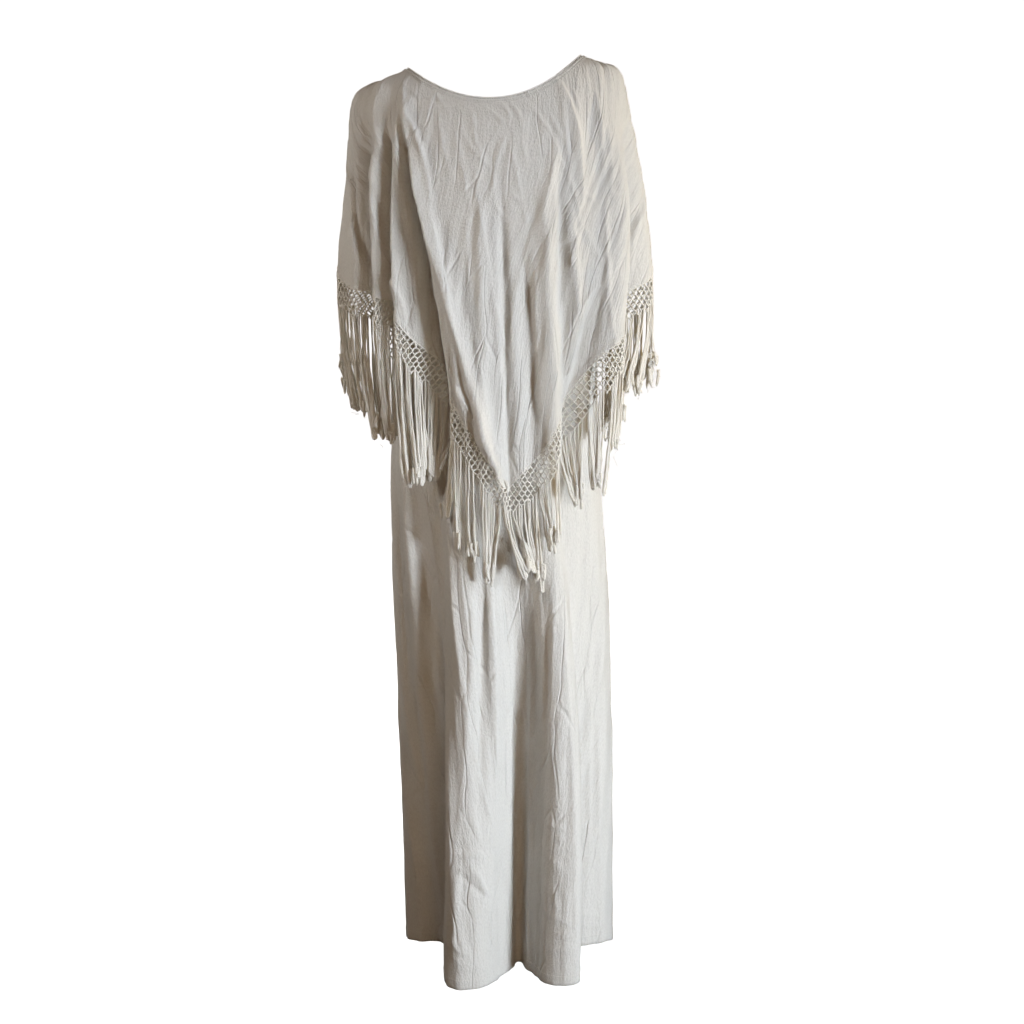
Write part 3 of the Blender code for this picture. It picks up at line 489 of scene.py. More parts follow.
def smooth_curve(rows, column, at):
    """Reads a column of a table at the places at, along a smooth curve with no overshoot."""
    ordered = sorted(rows, key=lambda row: row[0])
    places = np.array([row[0] for row in ordered], dtype=float)
    values = np.array([row[column] for row in ordered], dtype=float)
    steps = np.diff(places)
    slopes = np.diff(values) / steps
    least = np.minimum(np.abs(slopes[1:]), np.abs(slopes[:-1]))
    middle = (slopes[1:] + slopes[:-1]) / 2
    middle = np.sign(middle) * np.minimum(np.abs(middle), 3 * least)
    middle[slopes[1:] * slopes[:-1] <= 0] = 0
    tangents = np.concatenate(([slopes[0]], middle, [slopes[-1]]))
    index = np.clip(np.searchsorted(places, at) - 1, 0, len(steps) - 1)
    part = np.clip((at - places[index]) / steps[index], 0, 1)
    rest = 1 - part
    start = values[index] * rest ** 2 * (1 + 2 * part)
    end = values[index + 1] * part ** 2 * (3 - 2 * part)
    lean = tangents[index] * rest ** 2 * part - tangents[index + 1] * part ** 2 * rest
    return start + end + lean * steps[index]


def smooth_step(part):
    """Runs from 0 to 1 with level ends."""
    held = np.clip(part, 0, 1)
    return held * held * (3 - 2 * held)


def turn_between(angle, centre):
    """The signed turn from centre to angle, the short way round."""
    return (angle - centre + 180) % 360 - 180


def relief(folds, angle, height):
    """How far the folds push the cloth out at each angle and height."""
    total = np.zeros_like(height)
    for fold in folds:
        run = (fold.top - height) / (fold.top - fold.low)
        held = np.clip(run, 0, 1.15)
        centre = fold.angle + (fold.end_angle - fold.angle) * held
        width = fold.width + (fold.end_width - fold.width) * held
        strength = smooth_step(run / fold.rise)
        if fold.fade:
            strength = strength * smooth_step((1 - run) / 0.4)
        away = np.abs(turn_between(angle, centre)) / width
        total += fold.depth * strength * np.exp(-away ** fold.sharpness)
    return total


def section_radius(sections, roundness, angle, height):
    """Distance from the section's centre to its rounded outline."""
    turn = np.radians(angle)
    centre = smooth_curve(sections, 5, height)
    left = smooth_curve(sections, 1, height) + centre
    right = smooth_curve(sections, 2, height) - centre
    side = np.where(np.cos(turn) < 0, left, right)
    front = smooth_curve(sections, 3, height)
    back = smooth_curve(sections, 4, height)
    deep = np.where(np.sin(turn) < 0, front, back)
    across = np.abs(np.cos(turn) / side) ** roundness
    along = np.abs(np.sin(turn) / deep) ** roundness
    return (across + along) ** (-1 / roundness)


def placed(angle, height, radius, centre):
    """Points at the given radius, raised towards the higher shoulder."""
    turn = np.radians(angle)
    across = centre + radius * np.cos(turn)
    tilt = SHOULDER_TILT * (1 - smooth_step(height / TILT_END))
    return np.stack([across, radius * np.sin(turn), height + tilt * across], axis=-1)


def cape_surface(angle, height):
    """Points on the cape."""
    radius = section_radius(CAPE_SECTIONS, CAPE_ROUNDNESS, angle, height)
    return placed(angle, height, radius + relief(CAPE_FOLDS, angle, height), 0)


def dress_surface(angle, height):
    """The dress, which lies close under the cape on the shoulders and hangs free below."""
    cape = section_radius(CAPE_SECTIONS, CAPE_ROUNDNESS, angle, height + LAYER_DROP)
    limit = cape - LAYER_INSET + np.maximum(0, LAYER_FREE - height)
    body = section_radius(DRESS_SECTIONS, DRESS_ROUNDNESS, angle, height)
    radius = np.minimum(limit, body) + relief(DRESS_FOLDS, angle, height)
    return placed(angle, height, radius, smooth_curve(DRESS_SECTIONS, 5, height))


def neck_edge(share, half):
    """Height and turn from the side seam of the neck's edge at a share of its way across."""
    swing = np.cos(np.pi * (share - NECK_CROWDING * np.sin(2 * np.pi * share)))
    reach = np.where(swing > 0, NECK_LEFT, NECK_RIGHT) * np.abs(swing)
    height = -NECK_DROP[half] * (1 - np.abs(swing) ** NECK_POWER)
    left = smooth_curve(CAPE_SECTIONS, 1, height)
    right = smooth_curve(CAPE_SECTIONS, 2, height)
    side = np.where(swing > 0, left, right)
    deep = smooth_curve(CAPE_SECTIONS, 3 if half == FRONT else 4, height)
    inner = np.clip(1 - (reach / side) ** CAPE_ROUNDNESS, 0, 1)
    away = deep * inner ** (1 / CAPE_ROUNDNESS)
    turn = np.degrees(np.arctan2(away, reach * np.sign(swing)))
    return height, turn


def even_turns(surface, height, half, count):
    """Turns from the side seam that part the cloth into even widths at a height."""
    turns = np.linspace(0, 180, 2881)
    points = surface(180 + half * turns, np.full_like(turns, height))
    steps = np.linalg.norm(np.diff(points, axis=0), axis=1)
    length = np.concatenate(([0], np.cumsum(steps)))
    return np.interp(np.linspace(0, length[-1], count + 1), length, turns)


def no_opening(height):
    """A side seam that is closed all the way."""
    return np.zeros_like(height)


def armhole(height):
    """Half the width of the open stretch of the dress's side seam."""
    run = (ARMHOLE_TOP - height) / (ARMHOLE_TOP - ARMHOLE_LOW)
    return ARMHOLE_HALF * np.sin(np.pi * np.clip(run, 0, 1)) ** 0.8


def angles_at(surface, opening, half, turns, height):
    """Angles of the panel's upright lines at each height, fanned out from the neck."""
    neck_height, neck_turn = neck_edge(np.linspace(0, 1, len(turns)), half)
    below = neck_height - height
    turn = neck_turn + (turns - neck_turn) * smooth_step(below / FAN_HEIGHT)
    share = turn / 180
    open_part = smooth_step((below - OPENING_START) / OPENING_GROWTH)
    for seam, near, way in ((180.0, 1 - share, 1), (360.0, share, -1)):
        radius = np.linalg.norm(surface(np.full_like(height, seam), height)[..., :2], axis=-1)
        away = SEAM_GAP / 2 * near + opening(height) * open_part * near ** OPENING_SPREAD
        turn = turn + way * np.degrees(np.arcsin(away / radius))
    return 180 + half * turn


def path_length(path):
    """Length along a path of points, from its first one."""
    steps = np.linalg.norm(np.diff(path, axis=0), axis=1)
    return np.concatenate([[0], np.cumsum(steps)])


def read_along(at, places, points):
    """Reads a row of points, known at places, at other places."""
    return np.stack([np.interp(at, places, points[:, k]) for k in range(3)], axis=-1)


def running_length(points):
    """Length along each column of a grid of points, from its first row."""
    steps = np.linalg.norm(np.diff(points, axis=0), axis=2)
    return np.vstack([np.zeros(points.shape[1]), np.cumsum(steps, axis=0)])


def binding_lines(half, ways, columns):
    """Angles and heights on the cape's surface at the given ways down from the neck's edge."""
    top, neck_turn = neck_edge(np.linspace(0, 1, columns + 1), half)
    heights = top - 3 * BINDING_DEPTH * np.linspace(0, 1, FINE_STEPS)[:, None]
    angles = 180 + half * np.broadcast_to(neck_turn, heights.shape)
    length = running_length(cape_surface(angles, heights))
    rows = [np.interp(ways, length[:, k], heights[:, k]) for k in range(columns + 1)]
    rows = np.stack(rows, axis=1)
    return 180 + half * np.broadcast_to(neck_turn, rows.shape), rows


def panel_lines(surface, hem, opening, half, turns, shares, start):
    """Angles and heights of a panel's points, row by row down its cut length."""
    columns = len(turns) - 1
    top = neck_edge(np.linspace(0, 1, columns + 1), half)[0]
    low = smooth_curve(hem, 1, (180 + half * turns) % 360.001)
    fine = np.linspace(0, 1, FINE_STEPS)[:, None] ** 1.6
    heights = top + (low - top) * fine
    points = surface(angles_at(surface, opening, half, turns, heights), heights)
    length = running_length(points)
    last = cape_surface(*binding_lines(half, (0.9 * start, start), columns))
    onward = (last[1] - last[0]) / np.linalg.norm(last[1] - last[0], axis=-1, keepdims=True)
    past = np.einsum("rck,ck->rc", points - last[1], onward)
    levels = np.empty((len(shares), columns + 1))
    for column in range(columns + 1):
        skipped = np.interp(0, past[:, column], length[:, column])
        way = skipped + (length[-1, column] - skipped) * shares
        levels[:, column] = np.interp(way, length[:, column], heights[:, column])
    return angles_at(surface, opening, half, turns, levels), levels


def grid_normals(points, centre_out):
    """Unit normals of a grid of points, turned to the side of centre_out."""
    across = np.gradient(points, axis=1)
    down = np.gradient(points, axis=0)
    normal = np.cross(across, down)
    normal /= np.linalg.norm(normal, axis=-1, keepdims=True)
    turned = np.sign((normal * centre_out).sum(axis=-1).mean())
    return normal * turned


def outward_way(angle):
    """Level directions away from the upright axis."""
    turn = np.radians(angle)
    return np.stack([np.cos(turn), np.sin(turn), np.zeros_like(turn)], axis=-1)


def curve_points(path, count):
    """Evenly read points on the curve that passes through a path's three points."""
    first, middle, last = [np.array(point, dtype=float) for point in path]
    bend = 2 * middle - (first + last) / 2
    part = np.linspace(0, 1, count)[:, None]
    return first * (1 - part) ** 2 + bend * 2 * part * (1 - part) + last * part ** 2


def crease_relief(creases, surface, points, normals):
    """How far the creases push the cloth out at each point of a grid."""
    total = np.zeros(points.shape[:2])
    for crease in creases:
        line = curve_points(crease.path, 33)
        spine = surface(line[:, 0], line[:, 1])
        reach = 3.2 * CREASE_SPREAD * max(crease.near, crease.far)
        low, high = spine.min(axis=0) - reach, spine.max(axis=0) + reach
        near = ((points > low) & (points < high)).all(axis=-1)
        if not near.any():
            continue
        spots = points[near]
        starts, steps = spine[:-1], np.diff(spine, axis=0)
        away = spots[:, None, :] - starts[None]
        part = np.clip((away * steps).sum(axis=-1) / (steps ** 2).sum(axis=-1), 0, 1)
        miss = away - part[..., None] * steps
        gap = np.linalg.norm(miss, axis=-1)
        best = gap.argmin(axis=1)
        rows = np.arange(len(spots))
        gap = gap[rows, best]
        side = np.cross(steps[best], miss[rows, best])
        side = np.sign((side * normals[near]).sum(axis=-1))
        width = np.where(side > 0, crease.near, crease.far) * CREASE_SPREAD
        along = (best + part[rows, best]) / len(steps)
        strength = np.sin(np.pi * np.clip(along, 0.02, 0.98)) ** 0.7
        total[near] += CREASE_GAIN * crease.rise * strength * np.exp(-(gap / width) ** 1.4)
    return total


def waves(across, down, seed, kind):
    """A smooth random field of about -1 to 1, with waves stretched down the cloth."""
    dice = np.random.default_rng(seed)
    field = np.zeros_like(across)
    for _ in range(kind.count):
        length = kind.shortest * (kind.longest / kind.shortest) ** dice.random()
        lean = dice.normal(0, kind.slant)
        phase = dice.random() * 2 * np.pi
        field += np.sin(2 * np.pi * (across * np.cos(lean) + down * np.sin(lean) / kind.stretch)
                        / length + phase) * length / kind.longest
    return field / np.sqrt(kind.count) * 1.6


def make_piece(name, points, quads, triangles, quad_uvs, triangle_uvs, material):
    """A named mesh piece from arrays, with its UV map, that rides on the body."""
    mesh = bpy.data.meshes.new(name)
    faces = quads.tolist() + triangles.tolist()
    mesh.from_pydata(points.tolist(), [], faces)
    layer = mesh.uv_layers.new(name="weave")
    flat = np.concatenate([quad_uvs.reshape(-1), triangle_uvs.reshape(-1)])
    layer.data.foreach_set("uv", flat.astype(np.float32))
    mesh.materials.append(material)
    mesh.shade_smooth()
    piece = bpy.data.objects.new(name, mesh)
    bpy.context.scene.collection.objects.link(piece)
    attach(piece, "root")
    return piece


def grid_faces(rows, columns, first, flip):
    """Quads of a grid of points, by rows, numbered from first."""
    corner = first + np.arange(rows * columns).reshape(rows, columns)
    quads = np.stack([corner[:-1, :-1], corner[:-1, 1:], corner[1:, 1:], corner[1:, :-1]], -1)
    quads = quads.reshape(-1, 4)
    return quads[:, ::-1] if flip else quads


def shell_piece(name, outer, inner, cloth_map, flip, material):
    """A closed thin shell between two grids, with the cloth's own lengths as its UV map."""
    rows, columns = outer.shape[:2]
    count = rows * columns
    number = np.arange(count).reshape(rows, columns)
    edge = np.concatenate([number[0, :-1], number[:-1, -1], number[-1, :0:-1], number[:0:-1, 0]])
    after = np.roll(edge, -1)
    rim = np.stack([edge, edge + count, after + count, after], axis=-1)
    quads = np.concatenate([grid_faces(rows, columns, 0, flip),
                            grid_faces(rows, columns, count, not flip),
                            rim[:, ::-1] if flip else rim])
    uvs = np.concatenate([cloth_map.reshape(-1, 2)] * 2)
    points = np.concatenate([outer.reshape(-1, 3), inner.reshape(-1, 3)])
    empty = np.zeros((0, 3), dtype=int)
    return make_piece(name, points, quads, empty, uvs[quads], np.zeros((0, 3, 2)), material)


def cloth_lengths(points, middle):
    """Lengths across from the middle column and down from the top row of a grid."""
    steps = np.linalg.norm(np.diff(points, axis=1), axis=2)
    across = np.hstack([np.zeros((len(points), 1)), np.cumsum(steps, axis=1)])
    across = across - across[:, middle:middle + 1]
    return np.stack([across, -running_length(points)], axis=-1)


def edge_rise(points, depth):
    """1 inside the turned hem, 0 above it, with a short step."""
    length = running_length(points)
    from_edge = length[-1] - length
    return smooth_step((depth - from_edge) / HEM_STEP + 0.5)


class PanelCut:
    """One cut panel of cloth, worked out as grids."""

    def __init__(self, surface, hem, opening, creases, half, columns, rows, hem_depth, pattern):
        sizes = bpy.context.scene.dress_cloth
        seed = pattern.seed + half
        turns = even_turns(surface, pattern.even_height, half, columns)
        shares = np.linspace(0, 1, rows + 1) ** pattern.crowding
        self.angle, self.height = panel_lines(surface, hem, opening, half, turns, shares,
                                              BINDING_DEPTH - 0.003)
        base = surface(self.angle, self.height)
        way = outward_way(self.angle)
        normal = grid_normals(base, way)
        self.lengths = cloth_lengths(base, columns // 2)
        push = crease_relief(creases, surface, base, normal)
        across, down = self.lengths[..., 0], self.lengths[..., 1]
        drape = waves(across, down, seed, pattern.drape)
        crumple = -np.abs(waves(across, down, seed + 1, CRUMPLE))
        top_hold = smooth_step(-down / STILL_AT_NECK)
        push = push + sizes.unevenness * (pattern.drape_share * drape
                                          + CRUMPLE_SHARE * crumple) * top_hold
        push += HEM_RISE * edge_rise(base, hem_depth)
        self.middle = base + normal * push[..., None]
        self.normal = grid_normals(self.middle, way)

    def piece(self, name, half, material, seam_slot):
        """The panel as a thin closed shell."""
        thick = bpy.context.scene.dress_cloth.thickness
        return shell_piece(name, self.middle + self.normal * thick / 2,
                           self.middle - self.normal * thick / 2, self.lengths, half == BACK,
                           material)

    def area(self):
        """Area of the cloth as it lies."""
        across = np.diff(self.middle, axis=1)[:-1]
        down = np.diff(self.middle, axis=0)[:, :-1]
        return float(np.linalg.norm(np.cross(across, down), axis=-1).sum())


CUTS = {}


def cut_panel(kind, half):
    """The grids of a panel, worked out once."""
    if (kind, half) in CUTS:
        return CUTS[kind, half]
    sizes = bpy.context.scene.dress_cloth
    share = 1 if half == FRONT else sizes.back_share
    if kind == "cape":
        cut = PanelCut(cape_surface, CAPE_HEM, no_opening, CAPE_CREASES, half,
                       round(sizes.cape_columns * share), round(sizes.cape_rows * share),
                       sizes.cape_hem_depth, CAPE_PATTERN)
    else:
        cut = PanelCut(dress_surface, DRESS_HEM, armhole, DRESS_CREASES, half,
                       round(sizes.skirt_columns * share), round(sizes.skirt_rows * share),
                       sizes.hem_depth, DRESS_PATTERN)
    CUTS[kind, half] = cut
    return cut


def flat_cut(cut):
    """Width and length of the rectangle that the panel is cut from, and its cloth's area."""
    width = max(np.ptp(cut.lengths[..., 0], axis=1))
    length = -cut.lengths[..., 1].min()
    area = min(cut.area(), width * length)
    return (round(float(width), 2), round(float(length), 2)), round(area, 3)


class Yarns:
    """Gathers tubes and knots for one joined mesh."""

    def __init__(self):
        self.points, self.quads, self.tris = [], [], []
        self.quad_uvs, self.tri_uvs = [], []
        self.count = 0

    def tube(self, path, radii, sides):
        """A closed tube along a path."""
        path = np.asarray(path, dtype=float)
        radii = np.broadcast_to(np.asarray(radii, dtype=float), len(path))
        ahead = np.gradient(path, axis=0)
        ahead /= np.linalg.norm(ahead, axis=1, keepdims=True) + 1e-12
        side = np.empty_like(ahead)
        guess = np.array([0.9, 0.1, 0.2])
        for k, way in enumerate(ahead):
            guess = guess - way * (guess @ way)
            guess /= np.linalg.norm(guess) + 1e-12
            side[k] = guess
        other = np.cross(ahead, side)
        length = path_length(path)
        spin = 2 * np.pi * np.arange(sides) / sides
        wide = radii[:, None, None]
        ring = (path[:, None] + wide * (np.cos(spin)[None, :, None] * side[:, None]
                + np.sin(spin)[None, :, None] * other[:, None]))
        count = len(path)
        number = self.count + 1 + np.arange(count * sides).reshape(count, sides)
        after = np.roll(number, -1, axis=1)
        quads = np.stack([number[:-1], number[1:], after[1:], after[:-1]], axis=-1)
        turn = np.broadcast_to(np.arange(sides) / sides, (count, sides))
        far = np.broadcast_to(length[:, None], (count, sides))
        at = np.stack([turn, far], axis=-1)
        on = np.stack([turn + 1 / sides, far], axis=-1)
        self.quads.append(quads.reshape(-1, 4))
        self.quad_uvs.append(np.stack([at[:-1], at[1:], on[1:], on[:-1]], -2).reshape(-1, 4, 2))
        start, end = self.count, self.count + 1 + count * sides
        caps = [np.stack([np.full(sides, start), number[0], after[0]], axis=-1),
                np.stack([np.full(sides, end), after[-1], number[-1]], axis=-1)]
        self.tris += caps
        self.tri_uvs += [np.stack([at[0], at[0], on[0]], axis=1),
                         np.stack([at[-1], on[-1], at[-1]], axis=1)]
        self.points += [path[:1] - ahead[:1] * radii[0] * 0.4, ring.reshape(-1, 3),
                        path[-1:] + ahead[-1:] * radii[-1] * 0.4]
        self.count += count * sides + 2

    def copies(self, template, places, sizes, turns):
        """Adds a copy of a template's triangles at each place, sized and turned."""
        points, triangles = template
        spin = np.stack([np.stack([np.cos(turns), -np.sin(turns)], -1),
                         np.stack([np.sin(turns), np.cos(turns)], -1)], -2)
        for place, size, turn in zip(places, sizes, spin):
            moved = points * size
            moved = np.concatenate([moved[:, :2] @ turn.T, moved[:, 2:]], axis=1) + place
            self.points.append(moved)
            self.tris.append(triangles + self.count)
            uv = np.stack([points[:, 0] + points[:, 1], points[:, 2]], axis=-1) * 0.003
            self.tri_uvs.append(uv[triangles])
            self.count += len(points)

    def piece(self, name, material, seam_slot):
        """All that was gathered, as one mesh."""
        quads = np.concatenate(self.quads) if self.quads else np.zeros((0, 4), dtype=int)
        quad_uvs = np.concatenate(self.quad_uvs) if self.quads else np.zeros((0, 4, 2))
        return make_piece(name, np.concatenate(self.points), quads, np.concatenate(self.tris),
                          quad_uvs, np.concatenate(self.tri_uvs), material)


def deselect_all():
    """Leaves nothing selected."""
    for thing in list(bpy.context.selected_objects):
        thing.select_set(False)


def template_of(thing):
    """Points and triangles of a modelled template, which is then removed.

    Blender lists a sphere's faces in an order that changes from run to run, so the
    triangles are sorted to give the same mesh each time.
    """
    mesh = thing.data
    mesh.calc_loop_triangles()
    points = np.array([vertex.co for vertex in mesh.vertices])
    triangles = np.array(sorted(list(face.vertices) for face in mesh.loop_triangles))
    bpy.data.objects.remove(thing)
    bpy.data.meshes.remove(mesh)
    return points, triangles


def knot_template():
    """One small lumpy knot, of unit radius."""
    deselect_all()
    bpy.ops.mesh.primitive_uv_sphere_add(segments=6, ring_count=4, radius=1)
    knot = bpy.context.object
    bpy.ops.object.mode_set(mode="EDIT")
    bpy.ops.mesh.select_all(action="SELECT")
    bpy.ops.transform.vertex_random(offset=0.16, seed=4)
    bpy.ops.transform.resize(value=(1.0, 0.85, 0.95))
    bpy.ops.object.mode_set(mode="OBJECT")
    return template_of(knot)


def stitch_template():
    """One stitch of thread, of unit length along x."""
    deselect_all()
    bpy.ops.mesh.primitive_uv_sphere_add(segments=6, ring_count=4, radius=0.5)
    stitch = bpy.context.object
    bpy.ops.object.mode_set(mode="EDIT")
    bpy.ops.mesh.select_all(action="SELECT")
    bpy.ops.transform.resize(value=(1.0, 0.30, 0.26))
    bpy.ops.object.mode_set(mode="OBJECT")
    return template_of(stitch)


def on_edge(cut, place, drop):
    """Points straight below a cape panel's hem, at places along its last row."""
    last = len(cut.angle[-1]) - 1
    whole = np.arange(last + 1)
    angle = np.interp(place, whole, cut.angle[-1])
    edge = read_along(place, whole, cut.middle[-1])
    height = np.interp(place, whole, cut.height[-1])
    low = cape_surface(angle, height - drop)
    start = cape_surface(angle, height)
    return low + (edge - start) * np.exp(-drop / 0.02)[..., None]


def knotted_net(yarns, cut, dice):
    """A net of upright cells below a cape panel's hem. Returns its lowest knots."""
    sizes = bpy.context.scene.dress_net
    length = path_length(cut.middle[-1][:, :2])
    whole = np.arange(len(length))
    count = 2 * int(round(length[-1] / sizes.cell_width))
    step = length[-1] / count
    tall = sizes.row_height
    hem = np.interp(np.arange(count + 1) * step, length, cut.height[-1])
    angles = np.interp(np.arange(count + 1) * step, length, cut.angle[-1])
    depth = smooth_curve(NET_DEPTH, 1, angles)
    rows = np.arange(int(NET_REACH / tall))
    ways = (np.arange(count + 1)[:, None] * step
            + dice.normal(0, KNOT_JITTER, (count + 1, len(rows))))
    heights = -rows[None] * tall + dice.normal(0, KNOT_JITTER, ways.shape)
    below = hem[:, None] - heights
    kept = (below > 0.3 * tall) & (below < depth[:, None] + 0.3 * tall)
    kept &= (np.arange(count + 1)[:, None] + rows) % 2 == 0

    def at(way, height):
        """Points of the net at ways along the hem and at heights."""
        way = np.clip(way, 0, length[-1])
        drop = np.interp(way, length, cut.height[-1]) - height
        return on_edge(cut, np.interp(way, length, whole), np.maximum(drop, -SEWN_IN))

    part = np.linspace(0, 1, 5)
    ease = part - 0.15 * np.sin(2 * np.pi * part)
    for column, row in zip(*np.nonzero(kept)):
        for over in (column - 1, column + 1):
            if not 0 <= over <= count or (not kept[over, row - 1] and
                                          below[over, row - 1] > 0.3 * tall):
                continue
            way = ways[column, row] + (ways[over, row - 1] - ways[column, row]) * ease
            height = heights[column, row] + (heights[over, row - 1] - heights[column, row]) * part
            yarns.tube(at(way, height), sizes.cord_radius, 4)
    places = at(ways[kept], heights[kept])
    yarns.copies(knot_template(), places, dice.uniform(1.3, 1.6, len(places)) * sizes.cord_radius,
                 dice.uniform(0, 2 * np.pi, len(places)))
    columns = np.nonzero(kept.any(axis=1))[0]
    lowest = kept.shape[1] - 1 - kept[columns, ::-1].argmax(axis=1)
    return at(ways[columns, lowest], heights[columns, lowest]), angles[columns]


def bundle_ends(roots, angles, half):
    """For each root, the end of its bundle, the bundle's number and how much its yarns swell."""
    if half == FRONT:
        limits = [bundle.last_angle for bundle in FRONT_BUNDLES]
        groups = np.clip(np.searchsorted(limits, angles), 0, len(limits) - 1)
        fat = np.array([0.3 + 1.5 * FRONT_BUNDLES[group].swell for group in groups])
    else:
        groups = np.arange(len(roots)) // BACK_BUNDLE
        fat = 0.7 + 0.5 * (groups % 4 == 1)
    ends = np.empty_like(roots)
    for group in np.unique(groups):
        members = groups == group
        middle = roots[members].mean(axis=0)
        if half == FRONT:
            bundle = FRONT_BUNDLES[group]
            end = np.array([bundle.end_x, middle[1], bundle.end_height])
        else:
            end = middle - [0, 0, BACK_FRINGE[group % len(BACK_FRINGE)]]
        ends[members] = end + (roots[members] - middle) * [BUNDLE_SPREAD, BUNDLE_SPREAD, 0]
    return ends, groups, fat


def hanging_fringe(yarns, roots, angles, half, dice):
    """Soft yarns that hang from the net's lowest knots and draw together in bundles."""
    sizes = bpy.context.scene.dress_net
    ends, groups, fat = bundle_ends(roots, angles, half)
    part = np.linspace(0, 1, 17)
    draw = (part ** DRAW_POWER)[:, None]
    for root, end, swell in zip(roots, ends, fat):
        last = end + dice.normal(0, 1, 3) * END_JITTER
        chance = dice.random()
        if chance < sizes.missing_share:
            continue
        if chance > sizes.loop_share + sizes.missing_share:
            path = root + (last - root) * draw
            path[:, 2] = root[2] + (last[2] - root[2]) * part
            wide = (1 + swell * smooth_step((part - 0.35) / 0.5)) * lumps(part, dice)
            yarns.tube(path + sway(part, dice), sizes.yarn_radius * wide, 5)
            continue
        turn = dice.uniform(0, np.pi)
        side = np.array([np.cos(turn), np.sin(turn), 0])
        legs = []
        for way in (-1, 1):
            first = root + side * way * LOOP_TOP
            path = first + (last + side * way * LOOP_LOW - first) * draw
            path[:, 2] = first[2] + (last[2] - first[2]) * part
            legs.append(path + sway(part, dice))
        turns = np.linspace(0, np.pi, 5)[1:-1, None]
        across = (legs[1][-1] - legs[0][-1]) / 2
        bend = (legs[0][-1] + legs[1][-1]) / 2 - across * np.cos(turns)
        bend[:, 2] -= LOOP_SAG * np.sin(turns[:, 0])
        loose = (1 + swell * smooth_step((part - 0.45) / 0.4)) * lumps(part, dice)
        width = np.concatenate([loose, np.full(3, loose[-1]), loose[::-1]])
        yarns.tube(np.concatenate([legs[0], bend, legs[1][::-1]]), sizes.yarn_radius * width, 5)
    for group in np.unique(groups):
        member = np.argmax(groups == group)
        bundle_end(yarns, ends[groups == group].mean(axis=0), fat[member], group % 3 == 0, dice)


def point_loop(yarns, cut):
    """The small loop of rolled cloth at the cape's front point."""
    place = float(cut.middle[-1][:, 2].argmin())
    tip = on_edge(cut, np.array([place]), np.array([0.0]))[0]
    turn = np.linspace(-0.5, 2 * np.pi + 0.5, 26)
    ring = np.stack([-0.003 + 0.0042 * np.cos(turn), -0.0035 - 0.0012 * np.sin(turn),
                     0.003 + 0.0075 * np.sin(turn) - 0.3 * 0.0042 * np.cos(turn)], axis=-1)
    yarns.tube(tip + ring, 0.0023 + 0.0006 * np.sin(turn * 2.5), 8)


def lumps(part, dice):
    """The uneven thickness of soft yarn, as factors of about 1."""
    shift = dice.uniform(0, 2 * np.pi, 2)
    return 1 + 0.12 * np.sin(23 * part + shift[0]) + 0.10 * np.sin(41 * part + shift[1])


def sway(part, dice):
    """The small bends of a yarn that hangs nearly straight."""
    path = np.zeros((len(part), 3))
    for axis in (0, 1):
        for wave in SWAY_WAVES:
            shift = dice.random() * 2 * np.pi
            bends = np.sin(2 * np.pi * wave * part + shift) - np.sin(shift)
            path[:, axis] += dice.normal(0, SWAY_SIZE / wave) * bends * np.minimum(1, part * 3)
    return path


def bundle_end(yarns, end, swell, tied, dice):
    """The frayed tails at a bundle's end, with a tangled knot where it is tied."""
    radius = bpy.context.scene.dress_net.yarn_radius
    for _ in range(2 if tied else 0):
        turn = np.linspace(0, 2 * np.pi * dice.uniform(1.2, 2.0), 18)
        tilt = dice.normal(0, 0.5, 2)
        ring = np.stack([np.cos(turn), np.sin(turn), tilt[0] * np.cos(turn)
                         + tilt[1] * np.sin(turn) + 0.25 * turn / np.pi], axis=-1)
        yarns.tube(end + ring * dice.uniform(0.0028, 0.0044) + dice.normal(0, 0.0012, 3),
                   radius, 5)
    part = np.linspace(0, 1, 7)[:, None]
    for _ in range(round(4 + 3 * swell)):
        start = end + dice.normal(0, 1, 3) * [0.0040, 0.003, 0.004] + [0, 0, 0.012]
        way = np.array([dice.normal(0, 0.0015), dice.normal(0, 0.002),
                        -dice.uniform(0.014, 0.026)])
        curl = np.sin(part * np.pi * dice.uniform(0.8, 1.8)) * dice.normal(0, 0.0012, 3)
        round_end = np.sqrt(np.clip(1.02 - part[:, 0] ** 6, 0.05, 1))
        yarns.tube(start + way * part + curl, radius * (1.3 + 0.6 * swell) * round_end, 6)
    for _ in range(FIBRES):
        start = end + dice.normal(0, 1, 3) * [0.004, 0.003, 0.014] + [0, 0, 0.010]
        way = dice.normal(0, 1, 3) * [0.003, 0.003, 0.006]
        curl = np.sin(part * np.pi * dice.uniform(0.8, 1.6)) * dice.normal(0, 0.003, 3)
        yarns.tube(start + way * part + curl, FIBRE_RADIUS, 3)


def stitch_row(yarns, path, normal, template):
    """Stitches along a path of points, laid on the cloth."""
    length = path_length(path)
    count = int(length[-1] / STITCH_SPACING)
    place = (np.arange(count) + 0.5) * STITCH_SPACING
    points, triangles = template
    centre = read_along(place, length, path)
    ahead = read_along(place, length, np.gradient(path, axis=0))
    ahead /= np.linalg.norm(ahead, axis=1, keepdims=True)
    up = read_along(place, length, normal)
    side = np.cross(up, ahead)
    side /= np.linalg.norm(side, axis=1, keepdims=True)
    moved = (centre[:, None] + STITCH_SIZE * (points[None, :, :1] * ahead[:, None]
             + points[None, :, 1:2] * side[:, None] + points[None, :, 2:] * up[:, None]))
    number = yarns.count + len(points) * np.arange(count)[:, None, None] + triangles[None]
    uv = np.stack([points[:, 1], points[:, 0]], axis=-1) * 0.003
    yarns.points.append(moved.reshape(-1, 3))
    yarns.tris.append(number.reshape(-1, 3))
    yarns.tri_uvs.append(np.broadcast_to(uv[triangles], (count,) + triangles.shape + (2,))
                         .reshape(-1, 3, 2))
    yarns.count += len(points) * count


